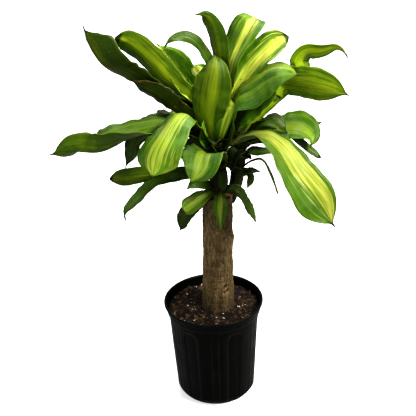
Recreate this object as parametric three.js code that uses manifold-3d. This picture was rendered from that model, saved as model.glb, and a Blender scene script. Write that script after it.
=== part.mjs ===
// A potted corn plant: a thick woody cane stands in potting soil in a black ribbed nursery pot, and
// two leafy shoots of striped strap leaves grow from its top.
// Millimetres, +Z up. The origin is the centre of the pot's underside, and the pot stands on z = 0.
import * as THREE from 'three';
import { mergeVertices } from 'three/addons/utils/BufferGeometryUtils.js';
import Module from 'manifold-3d';

const wasm = await Module();
wasm.setup();

// ---- Driving dimensions -------------------------------------------------------------------------

const POT_HEIGHT = 216;
const RIM_RADIUS = 102;          // over the rolled lip
const LIP_HEIGHT = 5;
const BAND_RADIUS = 98;          // the plain band under the lip
const BAND_BOTTOM = 192;
const BODY_TOP_RADIUS = 93;
const BODY_FOOT_RADIUS = 82;
const FOOT_HEIGHT = 15;          // the sloped edge under the body
const BASE_RADIUS = 73;
const POT_WALL = 2.4;
const POT_FLOOR = 3;
const POT_SIDES = 48;

const PANEL_COUNT = 6;           // recessed upright panels, one over each drain hole
const PANEL_FIRST_ANGLE = -64;   // degrees, anticlockwise from +X
const PANEL_HALF_WIDTH = 18;     // mm, along the wall
const PANEL_DEPTH = 2;
const PANEL_TOP = 184;
const DRAIN_WIDTH = 15;
const DRAIN_HEIGHT = 9;
const DRAIN_CUT_LENGTH = 26;

const SOIL_LEVEL = 197;          // at the pot's wall
const SOIL_MOUND = 4;            // how much the soil rises at the cane
const SOIL_LUMP = 1.6;
const SOIL_HOLLOW_DEPTH = 7;     // a dip in the soil left of the cane
const SOIL_HOLLOW_X = -42;
const SOIL_HOLLOW_Y = 12;
const SOIL_HOLLOW_SIZE = 17;
const SOIL_SIDES = 32;

const CANE_FOOT = 80;            // the cane's buried end
const CANE_TOP = 455;
const CANE_FOOT_RADIUS = 32.5;
const CANE_TOP_RADIUS = 28.5;
const CANE_FOOT_X = 5;           // the cane leans a little towards +X
const CANE_TOP_X = 17;
const CANE_FLARE = 2;            // how much wider it is where it leaves the soil
const CANE_FLARE_REACH = 20;
const CANE_SIDES = 24;
const CANE_RINGS = 18;

const BLADE_THICKNESS = 1.2;
const GAP = 0.3;                 // between pieces that touch

// ---- Closed meshes and how they are joined ------------------------------------------------------

const MERGE_DISTANCE = 1e-4;

function solidOf(geometry) {
  const plain = geometry.clone();
  plain.deleteAttribute('normal');
  plain.deleteAttribute('uv');
  const merged = mergeVertices(plain, MERGE_DISTANCE);
  return new wasm.Manifold(new wasm.Mesh({
    numProp: 3,
    vertProperties: new Float32Array(merged.attributes.position.array),
    triVerts: new Uint32Array(merged.index.array),
  }));
}

function geometryOf(solid) {
  const mesh = solid.getMesh();
  const geometry = new THREE.BufferGeometry();
  geometry.setAttribute('position', new THREE.BufferAttribute(new Float32Array(mesh.vertProperties), 3));
  geometry.setIndex(new THREE.BufferAttribute(new Uint32Array(mesh.triVerts), 1));
  geometry.computeVertexNormals();
  return geometry;
}

function joined(geometries) {
  return geometries.map(solidOf).reduce((whole, next) => whole.add(next));
}

// Of a fused solid only the outer skin is kept: small hollows between crossing blades are filled, and
// loose scraps are dropped.
function outerBody(solid) {
  const bodies = solid.decompose();
  return bodies.reduce((largest, body) => (body.volume() > largest.volume() ? body : largest));
}

// Moves every vertex of a geometry by a function of its place.
function reshaped(geometry, move) {
  const position = geometry.attributes.position;
  const point = new THREE.Vector3();
  for (let i = 0; i < position.count; i += 1) {
    point.fromBufferAttribute(position, i);
    move(point);
    position.setXYZ(i, point.x, point.y, point.z);
  }
  return geometry;
}

const { lerp, smoothstep, degToRad } = THREE.MathUtils;

function lathe(profile, sides) {
  const outline = profile.map(([radius, height]) => new THREE.Vector2(radius, height));
  return new THREE.LatheGeometry(outline, sides).rotateX(Math.PI / 2);
}

// ---- The nursery pot ----------------------------------------------------------------------------

// How deep the wall is pressed in at one place on it: six upright panels with round tops.
function panelDepth(angle, z) {
  const pitch = (2 * Math.PI) / PANEL_COUNT;
  const fromFirst = angle - degToRad(PANEL_FIRST_ANGLE);
  const offset = fromFirst - pitch * Math.round(fromFirst / pitch);
  const across = Math.abs(offset) * BODY_TOP_RADIUS;
  const shoulder = PANEL_TOP - PANEL_HALF_WIDTH;
  const above = Math.max(0, z - shoulder);
  const reach = Math.hypot(across, above);
  return PANEL_DEPTH * (1 - smoothstep(reach, PANEL_HALF_WIDTH - 6, PANEL_HALF_WIDTH));
}

function potWallRadius(z) {
  return lerp(BODY_FOOT_RADIUS, BODY_TOP_RADIUS, (z - FOOT_HEIGHT) / (BAND_BOTTOM - FOOT_HEIGHT));
}

function potGeometry() {
  const lipFoot = POT_HEIGHT - LIP_HEIGHT;
  const wallSteps = [PANEL_TOP - PANEL_HALF_WIDTH, PANEL_TOP - 6, PANEL_TOP, BAND_BOTTOM - 3];
  const outside = [
    [BASE_RADIUS, 0],
    [BODY_FOOT_RADIUS, FOOT_HEIGHT],
    ...wallSteps.map((z) => [potWallRadius(z), z]),
    [BAND_RADIUS - 2, BAND_BOTTOM],
    [BAND_RADIUS, lipFoot - 1],
    [RIM_RADIUS, lipFoot],
    [RIM_RADIUS, POT_HEIGHT - 1.5],
    [RIM_RADIUS - 1.5, POT_HEIGHT],
    [RIM_RADIUS - 4, POT_HEIGHT],
  ];
  const inside = [
    [BAND_RADIUS - POT_WALL, lipFoot - 2],
    [BAND_RADIUS - 2 - POT_WALL, BAND_BOTTOM + 1],
    ...wallSteps.toReversed().map((z) => [potWallRadius(z) - POT_WALL, z]),
    [BODY_FOOT_RADIUS - POT_WALL, FOOT_HEIGHT + 1],
    [BASE_RADIUS - POT_WALL, POT_FLOOR],
    [0, POT_FLOOR],
  ];
  const shell = lathe([[0, 0], ...outside, ...inside], POT_SIDES);
  return reshaped(shell, (point) => {
    const radius = Math.hypot(point.x, point.y);
    if (point.z > POT_FLOOR && point.z < BAND_BOTTOM - 2 && radius > BASE_RADIUS) {
      const scale = 1 - panelDepth(Math.atan2(point.y, point.x), point.z) / radius;
      point.x *= scale;
      point.y *= scale;
    }
  });
}

// One drain hole through the sloped edge at the foot of each panel.
function drainCutters() {
  const cutters = [];
  for (let i = 0; i < PANEL_COUNT; i += 1) {
    const angle = degToRad(PANEL_FIRST_ANGLE) + (i * 2 * Math.PI) / PANEL_COUNT;
    const cutter = new THREE.BoxGeometry(DRAIN_CUT_LENGTH, DRAIN_WIDTH, DRAIN_HEIGHT);
    cutter.translate(BASE_RADIUS + 6, 0, POT_FLOOR + DRAIN_HEIGHT / 2 - 0.5);
    cutters.push(cutter.rotateZ(angle));
  }
  return cutters;
}

function nurseryPot() {
  return drainCutters().reduce((pot, cutter) => pot.subtract(solidOf(cutter)), solidOf(potGeometry()));
}

// ---- The cane -----------------------------------------------------------------------------------

function caneCentreX(z) {
  return lerp(CANE_FOOT_X, CANE_TOP_X, (z - CANE_FOOT) / (CANE_TOP - CANE_FOOT));
}

// Swellings of the bark: [angle in degrees, height, how far it stands out, size].
const KNOTS = [
  [4, 357, 3.2, 11],
  [-68, 262, 2.2, 9],
  [150, 300, 2.4, 12],
  [95, 395, 2.6, 12],
];

// Long shallow furrows, low rings where old leaves sat, and a few knots.
function barkRelief(angle, z) {
  const furrows = 0.9 * Math.sin(7 * angle + 0.012 * z) + 0.6 * Math.sin(11 * angle - 0.02 * z + 1);
  const rings = 0.5 * Math.sin(z / 9);
  let knots = 0;
  for (const [degrees, height, rise, size] of KNOTS) {
    const turn = Math.cos(angle - degToRad(degrees));
    const across = Math.acos(Math.min(1, Math.max(-1, turn))) * CANE_TOP_RADIUS;
    knots += rise * Math.exp(-(across ** 2 + (z - height) ** 2) / size ** 2);
  }
  return furrows + rings + knots;
}

function caneGeometry(extra) {
  const height = CANE_TOP - CANE_FOOT;
  const cylinder = new THREE.CylinderGeometry(1, 1, height + 2 * extra, CANE_SIDES, CANE_RINGS);
  cylinder.rotateX(Math.PI / 2).translate(0, 0, (CANE_FOOT + CANE_TOP) / 2);
  return reshaped(cylinder, (point) => {
    const angle = Math.atan2(point.y, point.x);
    const share = (point.z - CANE_FOOT) / height;
    const flare = CANE_FLARE * Math.exp(-(((point.z - SOIL_LEVEL) / CANE_FLARE_REACH) ** 2));
    const radius = lerp(CANE_FOOT_RADIUS, CANE_TOP_RADIUS, share) + flare + barkRelief(angle, point.z);
    point.x = point.x * (radius + extra) + caneCentreX(point.z);
    point.y *= radius + extra;
  });
}

// ---- The potting soil ---------------------------------------------------------------------------

function soilHeight(x, y) {
  const fromCane = Math.hypot(x - CANE_FOOT_X, y) / BODY_TOP_RADIUS;
  const mound = SOIL_MOUND * (1 - smoothstep(fromCane, 0.2, 1));
  const lumps = SOIL_LUMP * (Math.sin(x / 9 + 1) * Math.cos(y / 11) + 0.6 * Math.sin(x / 5 - y / 6));
  const fromHollow = Math.hypot(x - SOIL_HOLLOW_X, y - SOIL_HOLLOW_Y) / SOIL_HOLLOW_SIZE;
  return SOIL_LEVEL + mound + lumps - SOIL_HOLLOW_DEPTH * Math.exp(-(fromHollow ** 2));
}

function soilGeometry() {
  const fit = GAP + 0.4;
  const bodyFoot = [BODY_FOOT_RADIUS - POT_WALL - PANEL_DEPTH - fit, FOOT_HEIGHT + 2];
  const wallTop = [potWallRadius(BAND_BOTTOM - 12) - POT_WALL - PANEL_DEPTH - fit, BAND_BOTTOM - 12];
  const rim = BAND_RADIUS - 3 - POT_WALL - fit;
  const profile = [
    [0, POT_FLOOR + GAP],
    [BASE_RADIUS - POT_WALL - 3, POT_FLOOR + GAP],
    bodyFoot,
    wallTop,
    [potWallRadius(BAND_BOTTOM) - POT_WALL - fit, BAND_BOTTOM],
    [rim, SOIL_LEVEL],
    ...[0.84, 0.68, 0.52, 0.38].map((share) => [rim * share, SOIL_LEVEL]),
    [0, SOIL_LEVEL],
  ];
  return reshaped(lathe(profile, SOIL_SIDES), (point) => {
    if (point.z > BAND_BOTTOM + 1 && Math.hypot(point.x, point.y) < rim - 1) {
      point.z = soilHeight(point.x, point.y);
    }
  });
}

function pottingSoil() {
  return solidOf(soilGeometry()).subtract(solidOf(caneGeometry(GAP)));
}

// ---- Leaves -------------------------------------------------------------------------------------

// A leaf is { path, width, fold, tip, widest }. Each point of its path is [x, y, z, roll]: a place on the
// midrib, from the stem to the tip, and how far the blade is turned there about its own length, in
// degrees. The fold is how steeply the two halves rise from the midrib, in degrees too: a fifth number
// sets it at one point, and else the leaf's own fold flattens towards the tip. A larger tip is blunter,
// and widest says at what share of its length the blade is broadest.
const LEAF_BASE_SHARE = 0.44;
const WIDEST_AT = 0.64;
const WAVE_HEIGHT = 2.6;
const WAVE_COUNT = 2.5;
const WAVE_SHIFT = 0.01;         // radians per mm of length, so that leaves wave differently
const OTHER_EDGE_SHIFT = 1.7;    // radians, so that a leaf's two edges wave differently
const COMMON_WIDTH = 70;         // the width that the wave's height is given for
const HALF_CURVE = 1.3;          // each half bends up a little towards its edge
const STEP_LENGTH = 34;
const WIDE_LEAF = 64;            // wider leaves have four strips across instead of two
const NARROWEST_HALF = 0.8;

function widthShare(s, { tip, widest }) {
  if (s < widest) {
    return LEAF_BASE_SHARE + (1 - LEAF_BASE_SHARE) * 0.5 * (1 - Math.cos((Math.PI * s) / widest));
  }
  return 1 - ((s - widest) / (1 - widest)) ** tip;
}

// The blade's middle, its sideways direction and its upper side's direction at share s of its length.
function bladeFrame(leaf, s) {
  const t = leaf.curve.getUtoTmapping(s);
  const centre = leaf.curve.getPoint(t);
  const along = leaf.curve.getTangent(t);
  const turn = leaf.turns.getPoint(t);
  const roll = degToRad(turn.x);
  const side = leaf.side.clone().addScaledVector(along, -leaf.side.dot(along)).normalize();
  const upper = new THREE.Vector3().crossVectors(along, side);
  const turnedSide = side.clone().multiplyScalar(Math.cos(roll)).addScaledVector(upper, Math.sin(roll));
  const turnedUpper = upper.multiplyScalar(Math.cos(roll)).addScaledVector(side, -Math.sin(roll));
  return { centre, side: turnedSide, upper: turnedUpper, fold: turn.y };
}

function bladePoint(leaf, s, a, offset) {
  const frame = bladeFrame(leaf, s);
  const fold = degToRad(frame.fold);
  const half = Math.max(NARROWEST_HALF, (leaf.width / 2) * widthShare(s, leaf));
  const edge = Math.abs(a);
  const shift = (a > 0 ? OTHER_EDGE_SHIFT : 0) + leaf.length * WAVE_SHIFT;
  const wave = Math.sin(2 * Math.PI * WAVE_COUNT * s + shift) * edge * edge * Math.sin(Math.PI * s);
  const lift = half * Math.sin(fold) * edge ** HALF_CURVE
    + WAVE_HEIGHT * (leaf.width / COMMON_WIDTH) * wave;
  return frame.centre
    .addScaledVector(frame.side, half * Math.cos(fold) * a)
    .addScaledVector(frame.upper, lift + offset);
}

function smoothCurve(points) {
  return new THREE.CatmullRomCurve3(points, false, 'catmullrom');
}

function prepared(row) {
  const { fold: leafFold = 20, tip = 2.6, widest = WIDEST_AT } = row;
  const last = row.path.length - 1;
  const curve = smoothCurve(row.path.map(([x, y, z]) => new THREE.Vector3(x, y, z)));
  const turns = smoothCurve(row.path.map(([, , , roll, fold], i) => (
    new THREE.Vector3(roll, fold ?? leafFold * (1.25 - (0.5 * i) / last), 0))));
  const heading = curve.points.at(-1).clone().sub(curve.points[0]);
  const side = new THREE.Vector3(-heading.y, heading.x, 0).normalize();
  return { width: row.width, tip, widest, curve, turns, side, length: curve.getLength() };
}

// A thin closed blade: the same grid of triangles on its upper and lower face, joined at the edge.
function bladeGeometry(row) {
  const leaf = prepared(row);
  const steps = Math.max(5, Math.min(10, Math.round(leaf.length / STEP_LENGTH)));
  const across = leaf.width > WIDE_LEAF ? 4 : 2;
  const points = [];
  for (const offset of [BLADE_THICKNESS / 2, -BLADE_THICKNESS / 2]) {
    for (let i = 0; i <= steps; i += 1) {
      for (let j = 0; j <= across; j += 1) {
        points.push(...bladePoint(leaf, i / steps, (2 * j) / across - 1, offset).toArray());
      }
    }
  }
  const perRow = across + 1;
  const lower = (steps + 1) * perRow;
  const faces = [];
  for (let i = 0; i < steps; i += 1) {
    for (let j = 0; j < across; j += 1) {
      const a = i * perRow + j;
      const b = a + 1;
      const c = a + perRow;
      const d = c + 1;
      faces.push(a, c, b, b, c, d);
      faces.push(lower + a, lower + b, lower + c, lower + b, lower + d, lower + c);
    }
  }
  const wall = (p, q) => faces.push(p, q, lower + q, p, lower + q, lower + p);
  for (let i = 0; i < steps; i += 1) {
    wall((i + 1) * perRow, i * perRow);
    wall(i * perRow + across, (i + 1) * perRow + across);
  }
  for (let j = 0; j < across; j += 1) {
    wall(j, j + 1);
    wall(steps * perRow + j + 1, steps * perRow + j);
  }
  const geometry = new THREE.BufferGeometry();
  geometry.setAttribute('position', new THREE.Float32BufferAttribute(points, 3));
  geometry.setIndex(faces);
  return geometry;
}

// ---- Shoot stems --------------------------------------------------------------------------------

// A closed round stem along a path of [x, y, z, radius].
function stemGeometry(path, sides = 12) {
  const curve = new THREE.CatmullRomCurve3(path.map(([x, y, z]) => new THREE.Vector3(x, y, z)));
  const radii = new THREE.CatmullRomCurve3(path.map(([, , , r]) => new THREE.Vector3(r, 0, 0)));
  const stem = new THREE.CylinderGeometry(1, 1, 1, sides, 3 * path.length);
  stem.rotateX(Math.PI / 2).translate(0, 0, 0.5);
  return reshaped(stem, (point) => {
    const t = Math.min(1, Math.max(0, point.z));
    const centre = curve.getPoint(t);
    const radius = radii.getPoint(t).x;
    point.set(centre.x + point.x * radius, centre.y + point.y * radius, centre.z);
  });
}

// ---- The two leafy shoots -----------------------------------------------------------------------

const MAIN_STEM = [
  [11, -8, 440, 15], [14, -10, 480, 14], [18, -8, 530, 14], [22, -4, 580, 13], [26, 0, 630, 8],
];

const MAIN_LEAVES = [
  // Upper left
  { path: [[22, 2, 584, 24, 14], [-74, 10, 655, 26, 16], [-147, -16, 706, 26, 24],
    [-178, -60, 744, 20, 46], [-199, -65, 785, 14, 60], [-206, -66, 820, 40, 30]],
    width: 92, tip: 5, widest: 0.8 },
  { path: [[25, 0, 600, 49], [-15, -8, 640, 49], [-73, -14, 700, 52], [-110, -20, 747, 58],
    [-135, -28, 773, 66], [-156, -30, 784, 84]], width: 62, fold: 22, tip: 6 },
  { path: [[25, 0, 605, -30], [-8, 5, 648, -36], [-32, 10, 678, -40], [-54, 12, 715, -38],
    [-70, 15, 738, -34], [-86, 20, 756, -30]], width: 62, fold: 18 },
  // Top
  { path: [[30, 5, 625, -45], [12, 0, 708, -44], [-2, -5, 742, -40], [-18, -10, 765, -35],
    [-40, -15, 775, -30], [-60, -20, 771, -28], [-71, -20, 757, -25]], width: 32, fold: 18 },
  { path: [[30, 5, 620, 47], [28, 12, 700, 50], [20, 15, 765, 58], [12, 15, 795, 80], [2, 12, 808, 95],
    [-14, 10, 808, 110]], width: 46, fold: 24 },
  { path: [[25, -10, 555, -19], [36, 0, 640, -19], [50, 10, 712, -14], [65, 20, 745, -6],
    [78, 26, 769, 4], [89, 36, 784, 15], [97, 56, 786, 25]], width: 72, fold: 14, tip: 7 },
  { path: [[11, -17, 553, 190], [1, -32, 620, 186], [8, -38, 680, 178], [16, -28, 720, 175],
    [20, 5, 738, 175]], width: 76, fold: 16, tip: 2.4 },
  { path: [[30, 10, 620, -9], [10, 15, 665, -9], [-10, 20, 695, -17], [-25, 25, 710, -40]],
    width: 50, tip: 4 },
  { path: [[30, 6, 612, -69], [70, 25, 690, -69], [95, 35, 730, -88], [110, 40, 755, -88]],
    width: 54, tip: 2.8 },
  // Upper right
  { path: [[30, 0, 595, 36], [53, 0, 655, 36], [82, 5, 700, 39], [107, 0, 730, 37], [130, -5, 753, 40],
    [154, -5, 766, 50]], width: 66, fold: 22, tip: 5 },
  { path: [[28, -14, 552, 40, 10], [43, -24, 606, 30, 0], [53, -30, 662, 22, -10],
    [82, -40, 690, 34, -24], [112, -50, 714, 36, -26], [139, -56, 720, 34, -20],
    [172, -58, 708, 32, -10]], width: 84, tip: 3 },
  { path: [[26, -6, 566, 36], [49, -18, 603, 36], [71, -26, 633, 38], [95, -32, 659, 40],
    [117, -34, 678, 44], [135, -36, 692, 44]], width: 68, fold: 6, tip: 4 },
  // Front
  { path: [[14, -12, 553, -50], [0, -25, 585, -50], [0, -25, 605, -41], [5, -10, 605, -41]],
    width: 40, tip: 3 },
  { path: [[20, -8, 505, -10], [8, -44, 552, -8], [-6, -85, 578, -4], [-16, -115, 564, -12],
    [-36, -128, 538, -34]], width: 78, fold: 14, tip: 3.2 },
  { path: [[15, -15, 555, -10], [-10, -26, 600, -6], [-33, -48, 640, 0], [-50, -76, 650, 4],
    [-74, -112, 626, 0], [-92, -128, 596, -12], [-101, -138, 552, -36]],
    width: 88, fold: -18, tip: 3, widest: 0.85 },
  { path: [[25, -15, 555, 10], [60, -50, 582, 4], [97, -80, 604, -6], [126, -108, 592, 2],
    [153, -126, 549, 16], [188, -142, 505, 38], [226, -152, 450, 50]],
    width: 84, fold: 16, tip: 2.2, widest: 0.78 },
  // Left
  { path: [[14, -7, 566, 0, 15], [-62, -30, 602, -4, 22], [-131, -42, 600, 0, 34],
    [-195, -44, 573, 20, 54], [-248, -42, 574, 56, 34], [-298, -38, 568, 85, 8]],
    width: 90, tip: 3, widest: 0.7 },
  { path: [[16, 0, 565, -17], [-65, 10, 582, -17], [-125, 15, 572, -24], [-145, 5, 545, -47],
    [-160, 0, 517, -47]], width: 50 },
  { path: [[15, -5, 585, 49], [-35, -15, 620, 49], [-80, -20, 660, 47], [-110, -25, 685, 57],
    [-135, -25, 705, 57]], width: 56, fold: 24 },
  { path: [[15, 0, 575, -13], [-55, 15, 595, -13], [-100, 15, 603, -13], [-135, 10, 602, -13]],
    width: 48 },
  { path: [[10, -10, 515, 70], [-50, -30, 515, 70], [-105, -50, 523, 70], [-150, -55, 522, 85],
    [-186, -55, 521, 85]], width: 40, fold: 16, tip: 6 },
  { path: [[5, -15, 510, -18], [-50, -40, 512, -18], [-98, -55, 510, -6], [-130, -65, 482, -2],
    [-158, -70, 460, 1], [-160, -70, 434, 1]], width: 42, fold: 18 },
  { path: [[10, -15, 478, -60], [-8, -40, 496, -60], [-26, -60, 508, -60], [-42, -72, 502, -60]],
    width: 26 },
  // The lowest small leaves, at the cane's top
  { path: [[25, -20, 470, 42], [45, -30, 478, 42], [58, -35, 468, 15], [72, -35, 438, 4],
    [90, -35, 405, 4]], width: 36 },
  { path: [[20, -20, 470, 0], [20, -40, 465, 0], [20, -45, 435, 30], [20, -40, 392, 30]],
    width: 32, fold: 12, tip: 1.3, widest: 0.42 },
  { path: [[10, -20, 470, -27], [-5, -35, 470, -27], [-30, -50, 460, -25], [-52, -55, 448, -40]],
    width: 38, tip: 5 },
  { path: [[5, -15, 460, -25], [-18, -30, 450, -25], [-42, -40, 435, -19], [-60, -40, 398, -19]],
    width: 40 },
  { path: [[20, -10, 500, 0], [26, -24, 516, 0], [27, -30, 500, 10], [26, -32, 474, 10]], width: 20 },
  { path: [[18, -14, 553, 112], [26, -30, 599, 110], [36, -35, 634, 108], [46, -37, 661, 106]],
    width: 30, fold: 8, tip: 5, widest: 0.8 },
];

// The leaves on the far side: [azimuth, reach, rise, sag, width, height of the base]. The blade goes out
// by its reach while it rises and then sags, as every other leaf does.
const MAIN_BACK_LEAVES = [
  [70, 120, 190, 60, 66, 600],
  [105, 150, 165, 90, 70, 590],
  [140, 170, 170, 90, 66, 580],
  [50, 150, 190, 100, 64, 585],
  [90, 210, 150, 150, 72, 560],
  [122, 230, 130, 140, 70, 550],
  [155, 220, 100, 110, 60, 560],
];

const SIDE_STEM = [
  [40, 6, 436, 11], [52, 8, 470, 13], [58, 8, 510, 13], [62, 10, 550, 12], [66, 14, 590, 7],
];

const SIDE_LEAVES = [
  { path: [[62, 10, 552, -50], [105, 15, 614, -56], [173, 20, 690, -60], [177, 20, 711, -60],
    [189, 16, 727, -64], [216, 8, 732, -72], [238, 0, 741, -72], [252, -4, 736, -64], [263, -6, 718, -60]],
    width: 46, fold: 6, tip: 1.6, widest: 0.6 },
  { path: [[64, 12, 575, -50], [106, 16, 630, -60], [141, 12, 672, -68], [174, 4, 673, -72],
    [212, -5, 669, -76], [244, -12, 662, -80], [266, -20, 653, -80]], width: 74, fold: 8, tip: 3.2 },
  { path: [[66, 8, 552, 16], [108, 0, 581, 22], [137, -8, 591, 24], [166, -18, 596, 24],
    [186, -32, 591, 26], [194, -44, 581, 30], [189, -54, 568, 36]], width: 74, fold: 8, tip: 2.4 },
  { path: [[68, 10, 558, 14], [129, 6, 590, 16], [168, 0, 599, 24], [202, -4, 595, 34],
    [218, -6, 599, 46]], width: 62, fold: -16, tip: 3 },
  { path: [[65, 12, 568, -40], [82, 14, 599, -40], [100, 16, 619, -44], [121, 18, 632, -50],
    [142, 20, 642, -60]], width: 40, tip: 5 },
  { path: [[66, 5, 566, -10], [101, -18, 607, -6], [127, -26, 613, 10], [150, -32, 588, 30]],
    width: 34, tip: 2.2 },
  { path: [[60, 0, 522, 28], [80, -10, 546, 28], [100, -30, 552, 15], [125, -45, 557, 11]],
    width: 26, fold: 12 },
  { path: [[62, 5, 505, 53], [82, -5, 524, 53], [103, -10, 528, 21], [118, -15, 503, 22],
    [133, -15, 455, 22]], width: 7, fold: 10 },
  { path: [[60, 5, 490, -120], [76, 0, 497, -120], [81, -5, 488, -109], [74, -10, 470, -109]],
    width: 15, fold: 10 },
  { path: [[62, 8, 548, 20], [100, 4, 590, 20], [143, 0, 587, 15], [179, -25, 562, 15],
    [213, -35, 537, 20]], width: 24, fold: 12, tip: 6 },
  { path: [[60, 2, 540, 0], [54, -18, 552, 0], [46, -26, 540, 10], [42, -30, 516, 16]], width: 28 },
];

const SIDE_BACK_LEAVES = [
  [75, 170, 160, 90, 62, 560],
  [50, 150, 130, 60, 60, 555],
  [105, 190, 120, 130, 64, 530],
];

const BACK_LEAF_POINTS = [0, 0.35, 0.65, 0.85, 1];

function backLeaf([azimuth, reach, rise, sag, width, baseHeight], stem) {
  const [stemX, stemY] = stem[3];
  const east = Math.cos(degToRad(azimuth));
  const north = Math.sin(degToRad(azimuth));
  const path = BACK_LEAF_POINTS.map((share) => [
    stemX + east * reach * share,
    stemY + north * reach * share,
    baseHeight + rise * share - sag * share * share,
    0,
  ]);
  return { path, width, fold: 26 };
}

function leafyShoot(stem, frontLeaves, backLeaves) {
  const leaves = [...frontLeaves, ...backLeaves.map((row) => backLeaf(row, stem))];
  const whole = joined([stemGeometry(stem), ...leaves.map(bladeGeometry)]);
  return outerBody(whole.subtract(solidOf(caneGeometry(GAP))));
}

// ---- The whole plant ----------------------------------------------------------------------------

const MATERIALS = {
  potPlastic: new THREE.MeshStandardMaterial({ color: 0x151614, roughness: 0.42 }),
  soil: new THREE.MeshStandardMaterial({ color: 0x3a2416, roughness: 0.95 }),
  bark: new THREE.MeshStandardMaterial({ color: 0x7c6b49, roughness: 0.85 }),
  leaf: new THREE.MeshStandardMaterial({ color: 0x4f8a1f, roughness: 0.38 }),
};

function named(name, solid, material) {
  const mesh = new THREE.Mesh(geometryOf(solid), material);
  mesh.name = name;
  return mesh;
}

const plant = new THREE.Group();
plant.add(
  named('nursery_pot', nurseryPot(), MATERIALS.potPlastic),
  named('potting_soil', pottingSoil(), MATERIALS.soil),
  named('cane', solidOf(caneGeometry(0)), MATERIALS.bark),
  named('main_leafy_shoot', leafyShoot(MAIN_STEM, MAIN_LEAVES, MAIN_BACK_LEAVES), MATERIALS.leaf),
  named('side_leafy_shoot', leafyShoot(SIDE_STEM, SIDE_LEAVES, SIDE_BACK_LEAVES), MATERIALS.leaf),
);

export default plant;
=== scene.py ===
"""A potted corn plant: a furrowed cane in a black nursery pot, with two shoots of striped strap leaves.

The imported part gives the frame. Each of its nodes is dressed by finer pieces of the same form: the
pot, the soil with its bark chips and perlite, the cane, and the stem and leaves of each shoot.
Lengths are written in millimetres, as on the part, and turned to metres where a mesh is made. Values
inside a node tree, the tree's inputs among them, are in metres.
"""

import math
from functools import reduce

import bpy
import numpy as np
from mathutils import Matrix, Vector


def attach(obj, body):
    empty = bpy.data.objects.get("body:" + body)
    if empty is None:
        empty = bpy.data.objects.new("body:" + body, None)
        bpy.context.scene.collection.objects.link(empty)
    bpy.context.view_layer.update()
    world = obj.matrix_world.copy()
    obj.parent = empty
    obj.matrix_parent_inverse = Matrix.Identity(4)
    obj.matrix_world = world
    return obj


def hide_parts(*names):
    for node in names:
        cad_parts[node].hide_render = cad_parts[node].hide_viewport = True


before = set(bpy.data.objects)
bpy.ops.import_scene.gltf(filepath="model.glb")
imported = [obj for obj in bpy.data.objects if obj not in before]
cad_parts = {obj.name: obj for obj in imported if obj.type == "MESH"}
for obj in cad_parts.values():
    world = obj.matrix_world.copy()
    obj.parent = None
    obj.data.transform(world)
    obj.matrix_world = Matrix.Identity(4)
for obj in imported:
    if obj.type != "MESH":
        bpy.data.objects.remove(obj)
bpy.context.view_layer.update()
MM = 0.001


# ---- The photograph's viewpoint -----------------------------------------------------------------

# Found from the ellipses of the pot's rim and foot in the photograph.
IMAGE_SIZE = 416
FOCAL_PIXELS = 950
VIEW_PITCH = math.radians(26.8)
VIEW_ROLL = math.radians(-2.3)
VIEW_DISTANCE = 1960
RIM_CENTRE = Vector((0, 0, 216))
RIM_RIGHT_OF_MIDDLE = 5.4
RIM_BELOW_MIDDLE = 90.2
SENSOR_WIDTH = 36


def place_camera():
    """Looks at the pot's rim from the photograph's side. The rim's place in the picture is in pixels."""
    forward = Vector((0, math.cos(VIEW_PITCH), -math.sin(VIEW_PITCH)))
    level_right = Vector((1, 0, 0))
    level_up = level_right.cross(forward)
    right = math.cos(VIEW_ROLL) * level_right + math.sin(VIEW_ROLL) * level_up
    up = math.cos(VIEW_ROLL) * level_up - math.sin(VIEW_ROLL) * level_right
    per_pixel = VIEW_DISTANCE / FOCAL_PIXELS
    place = RIM_CENTRE - forward * VIEW_DISTANCE
    place += (RIM_BELOW_MIDDLE * up - RIM_RIGHT_OF_MIDDLE * right) * per_pixel
    lens = bpy.data.cameras.new("photo_view")
    lens.sensor_width = SENSOR_WIDTH
    lens.lens = FOCAL_PIXELS / IMAGE_SIZE * SENSOR_WIDTH
    camera = bpy.data.objects.new("photo_view", lens)
    bpy.context.scene.collection.objects.link(camera)
    turn = Matrix((right, up, -forward)).transposed()
    camera.matrix_world = Matrix.Translation(place * MM) @ turn.to_4x4()
    bpy.context.scene.camera = camera


# ---- Small helpers for meshes and node trees ----------------------------------------------------

def paint(code):
    """The linear colour of a #rrggbb code."""
    levels = [int(code[i:i + 2], 16) / 255 for i in (1, 3, 5)]
    linear = [v / 12.92 if v <= 0.04045 else ((v + 0.055) / 1.055) ** 2.4 for v in levels]
    return (*linear, 1)


def mesh_object(name, points, faces, smooth=True):
    """A new object from points in millimetres."""
    mesh = bpy.data.meshes.new(name)
    mesh.from_pydata((np.asarray(points) * MM).tolist(), [], faces)
    mesh.validate()
    mesh.polygons.foreach_set("use_smooth", [smooth] * len(mesh.polygons))
    piece = bpy.data.objects.new(name, mesh)
    bpy.context.scene.collection.objects.link(piece)
    return piece


def store(mesh, name, values, kind="FLOAT"):
    """Keeps one value for each point of a mesh under a name that materials and trees can read."""
    attribute = mesh.attributes.new(name, kind, "POINT")
    field = "vector" if kind == "FLOAT_VECTOR" else "value"
    attribute.data.foreach_set(field, np.asarray(values, np.float32).ravel())


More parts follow.
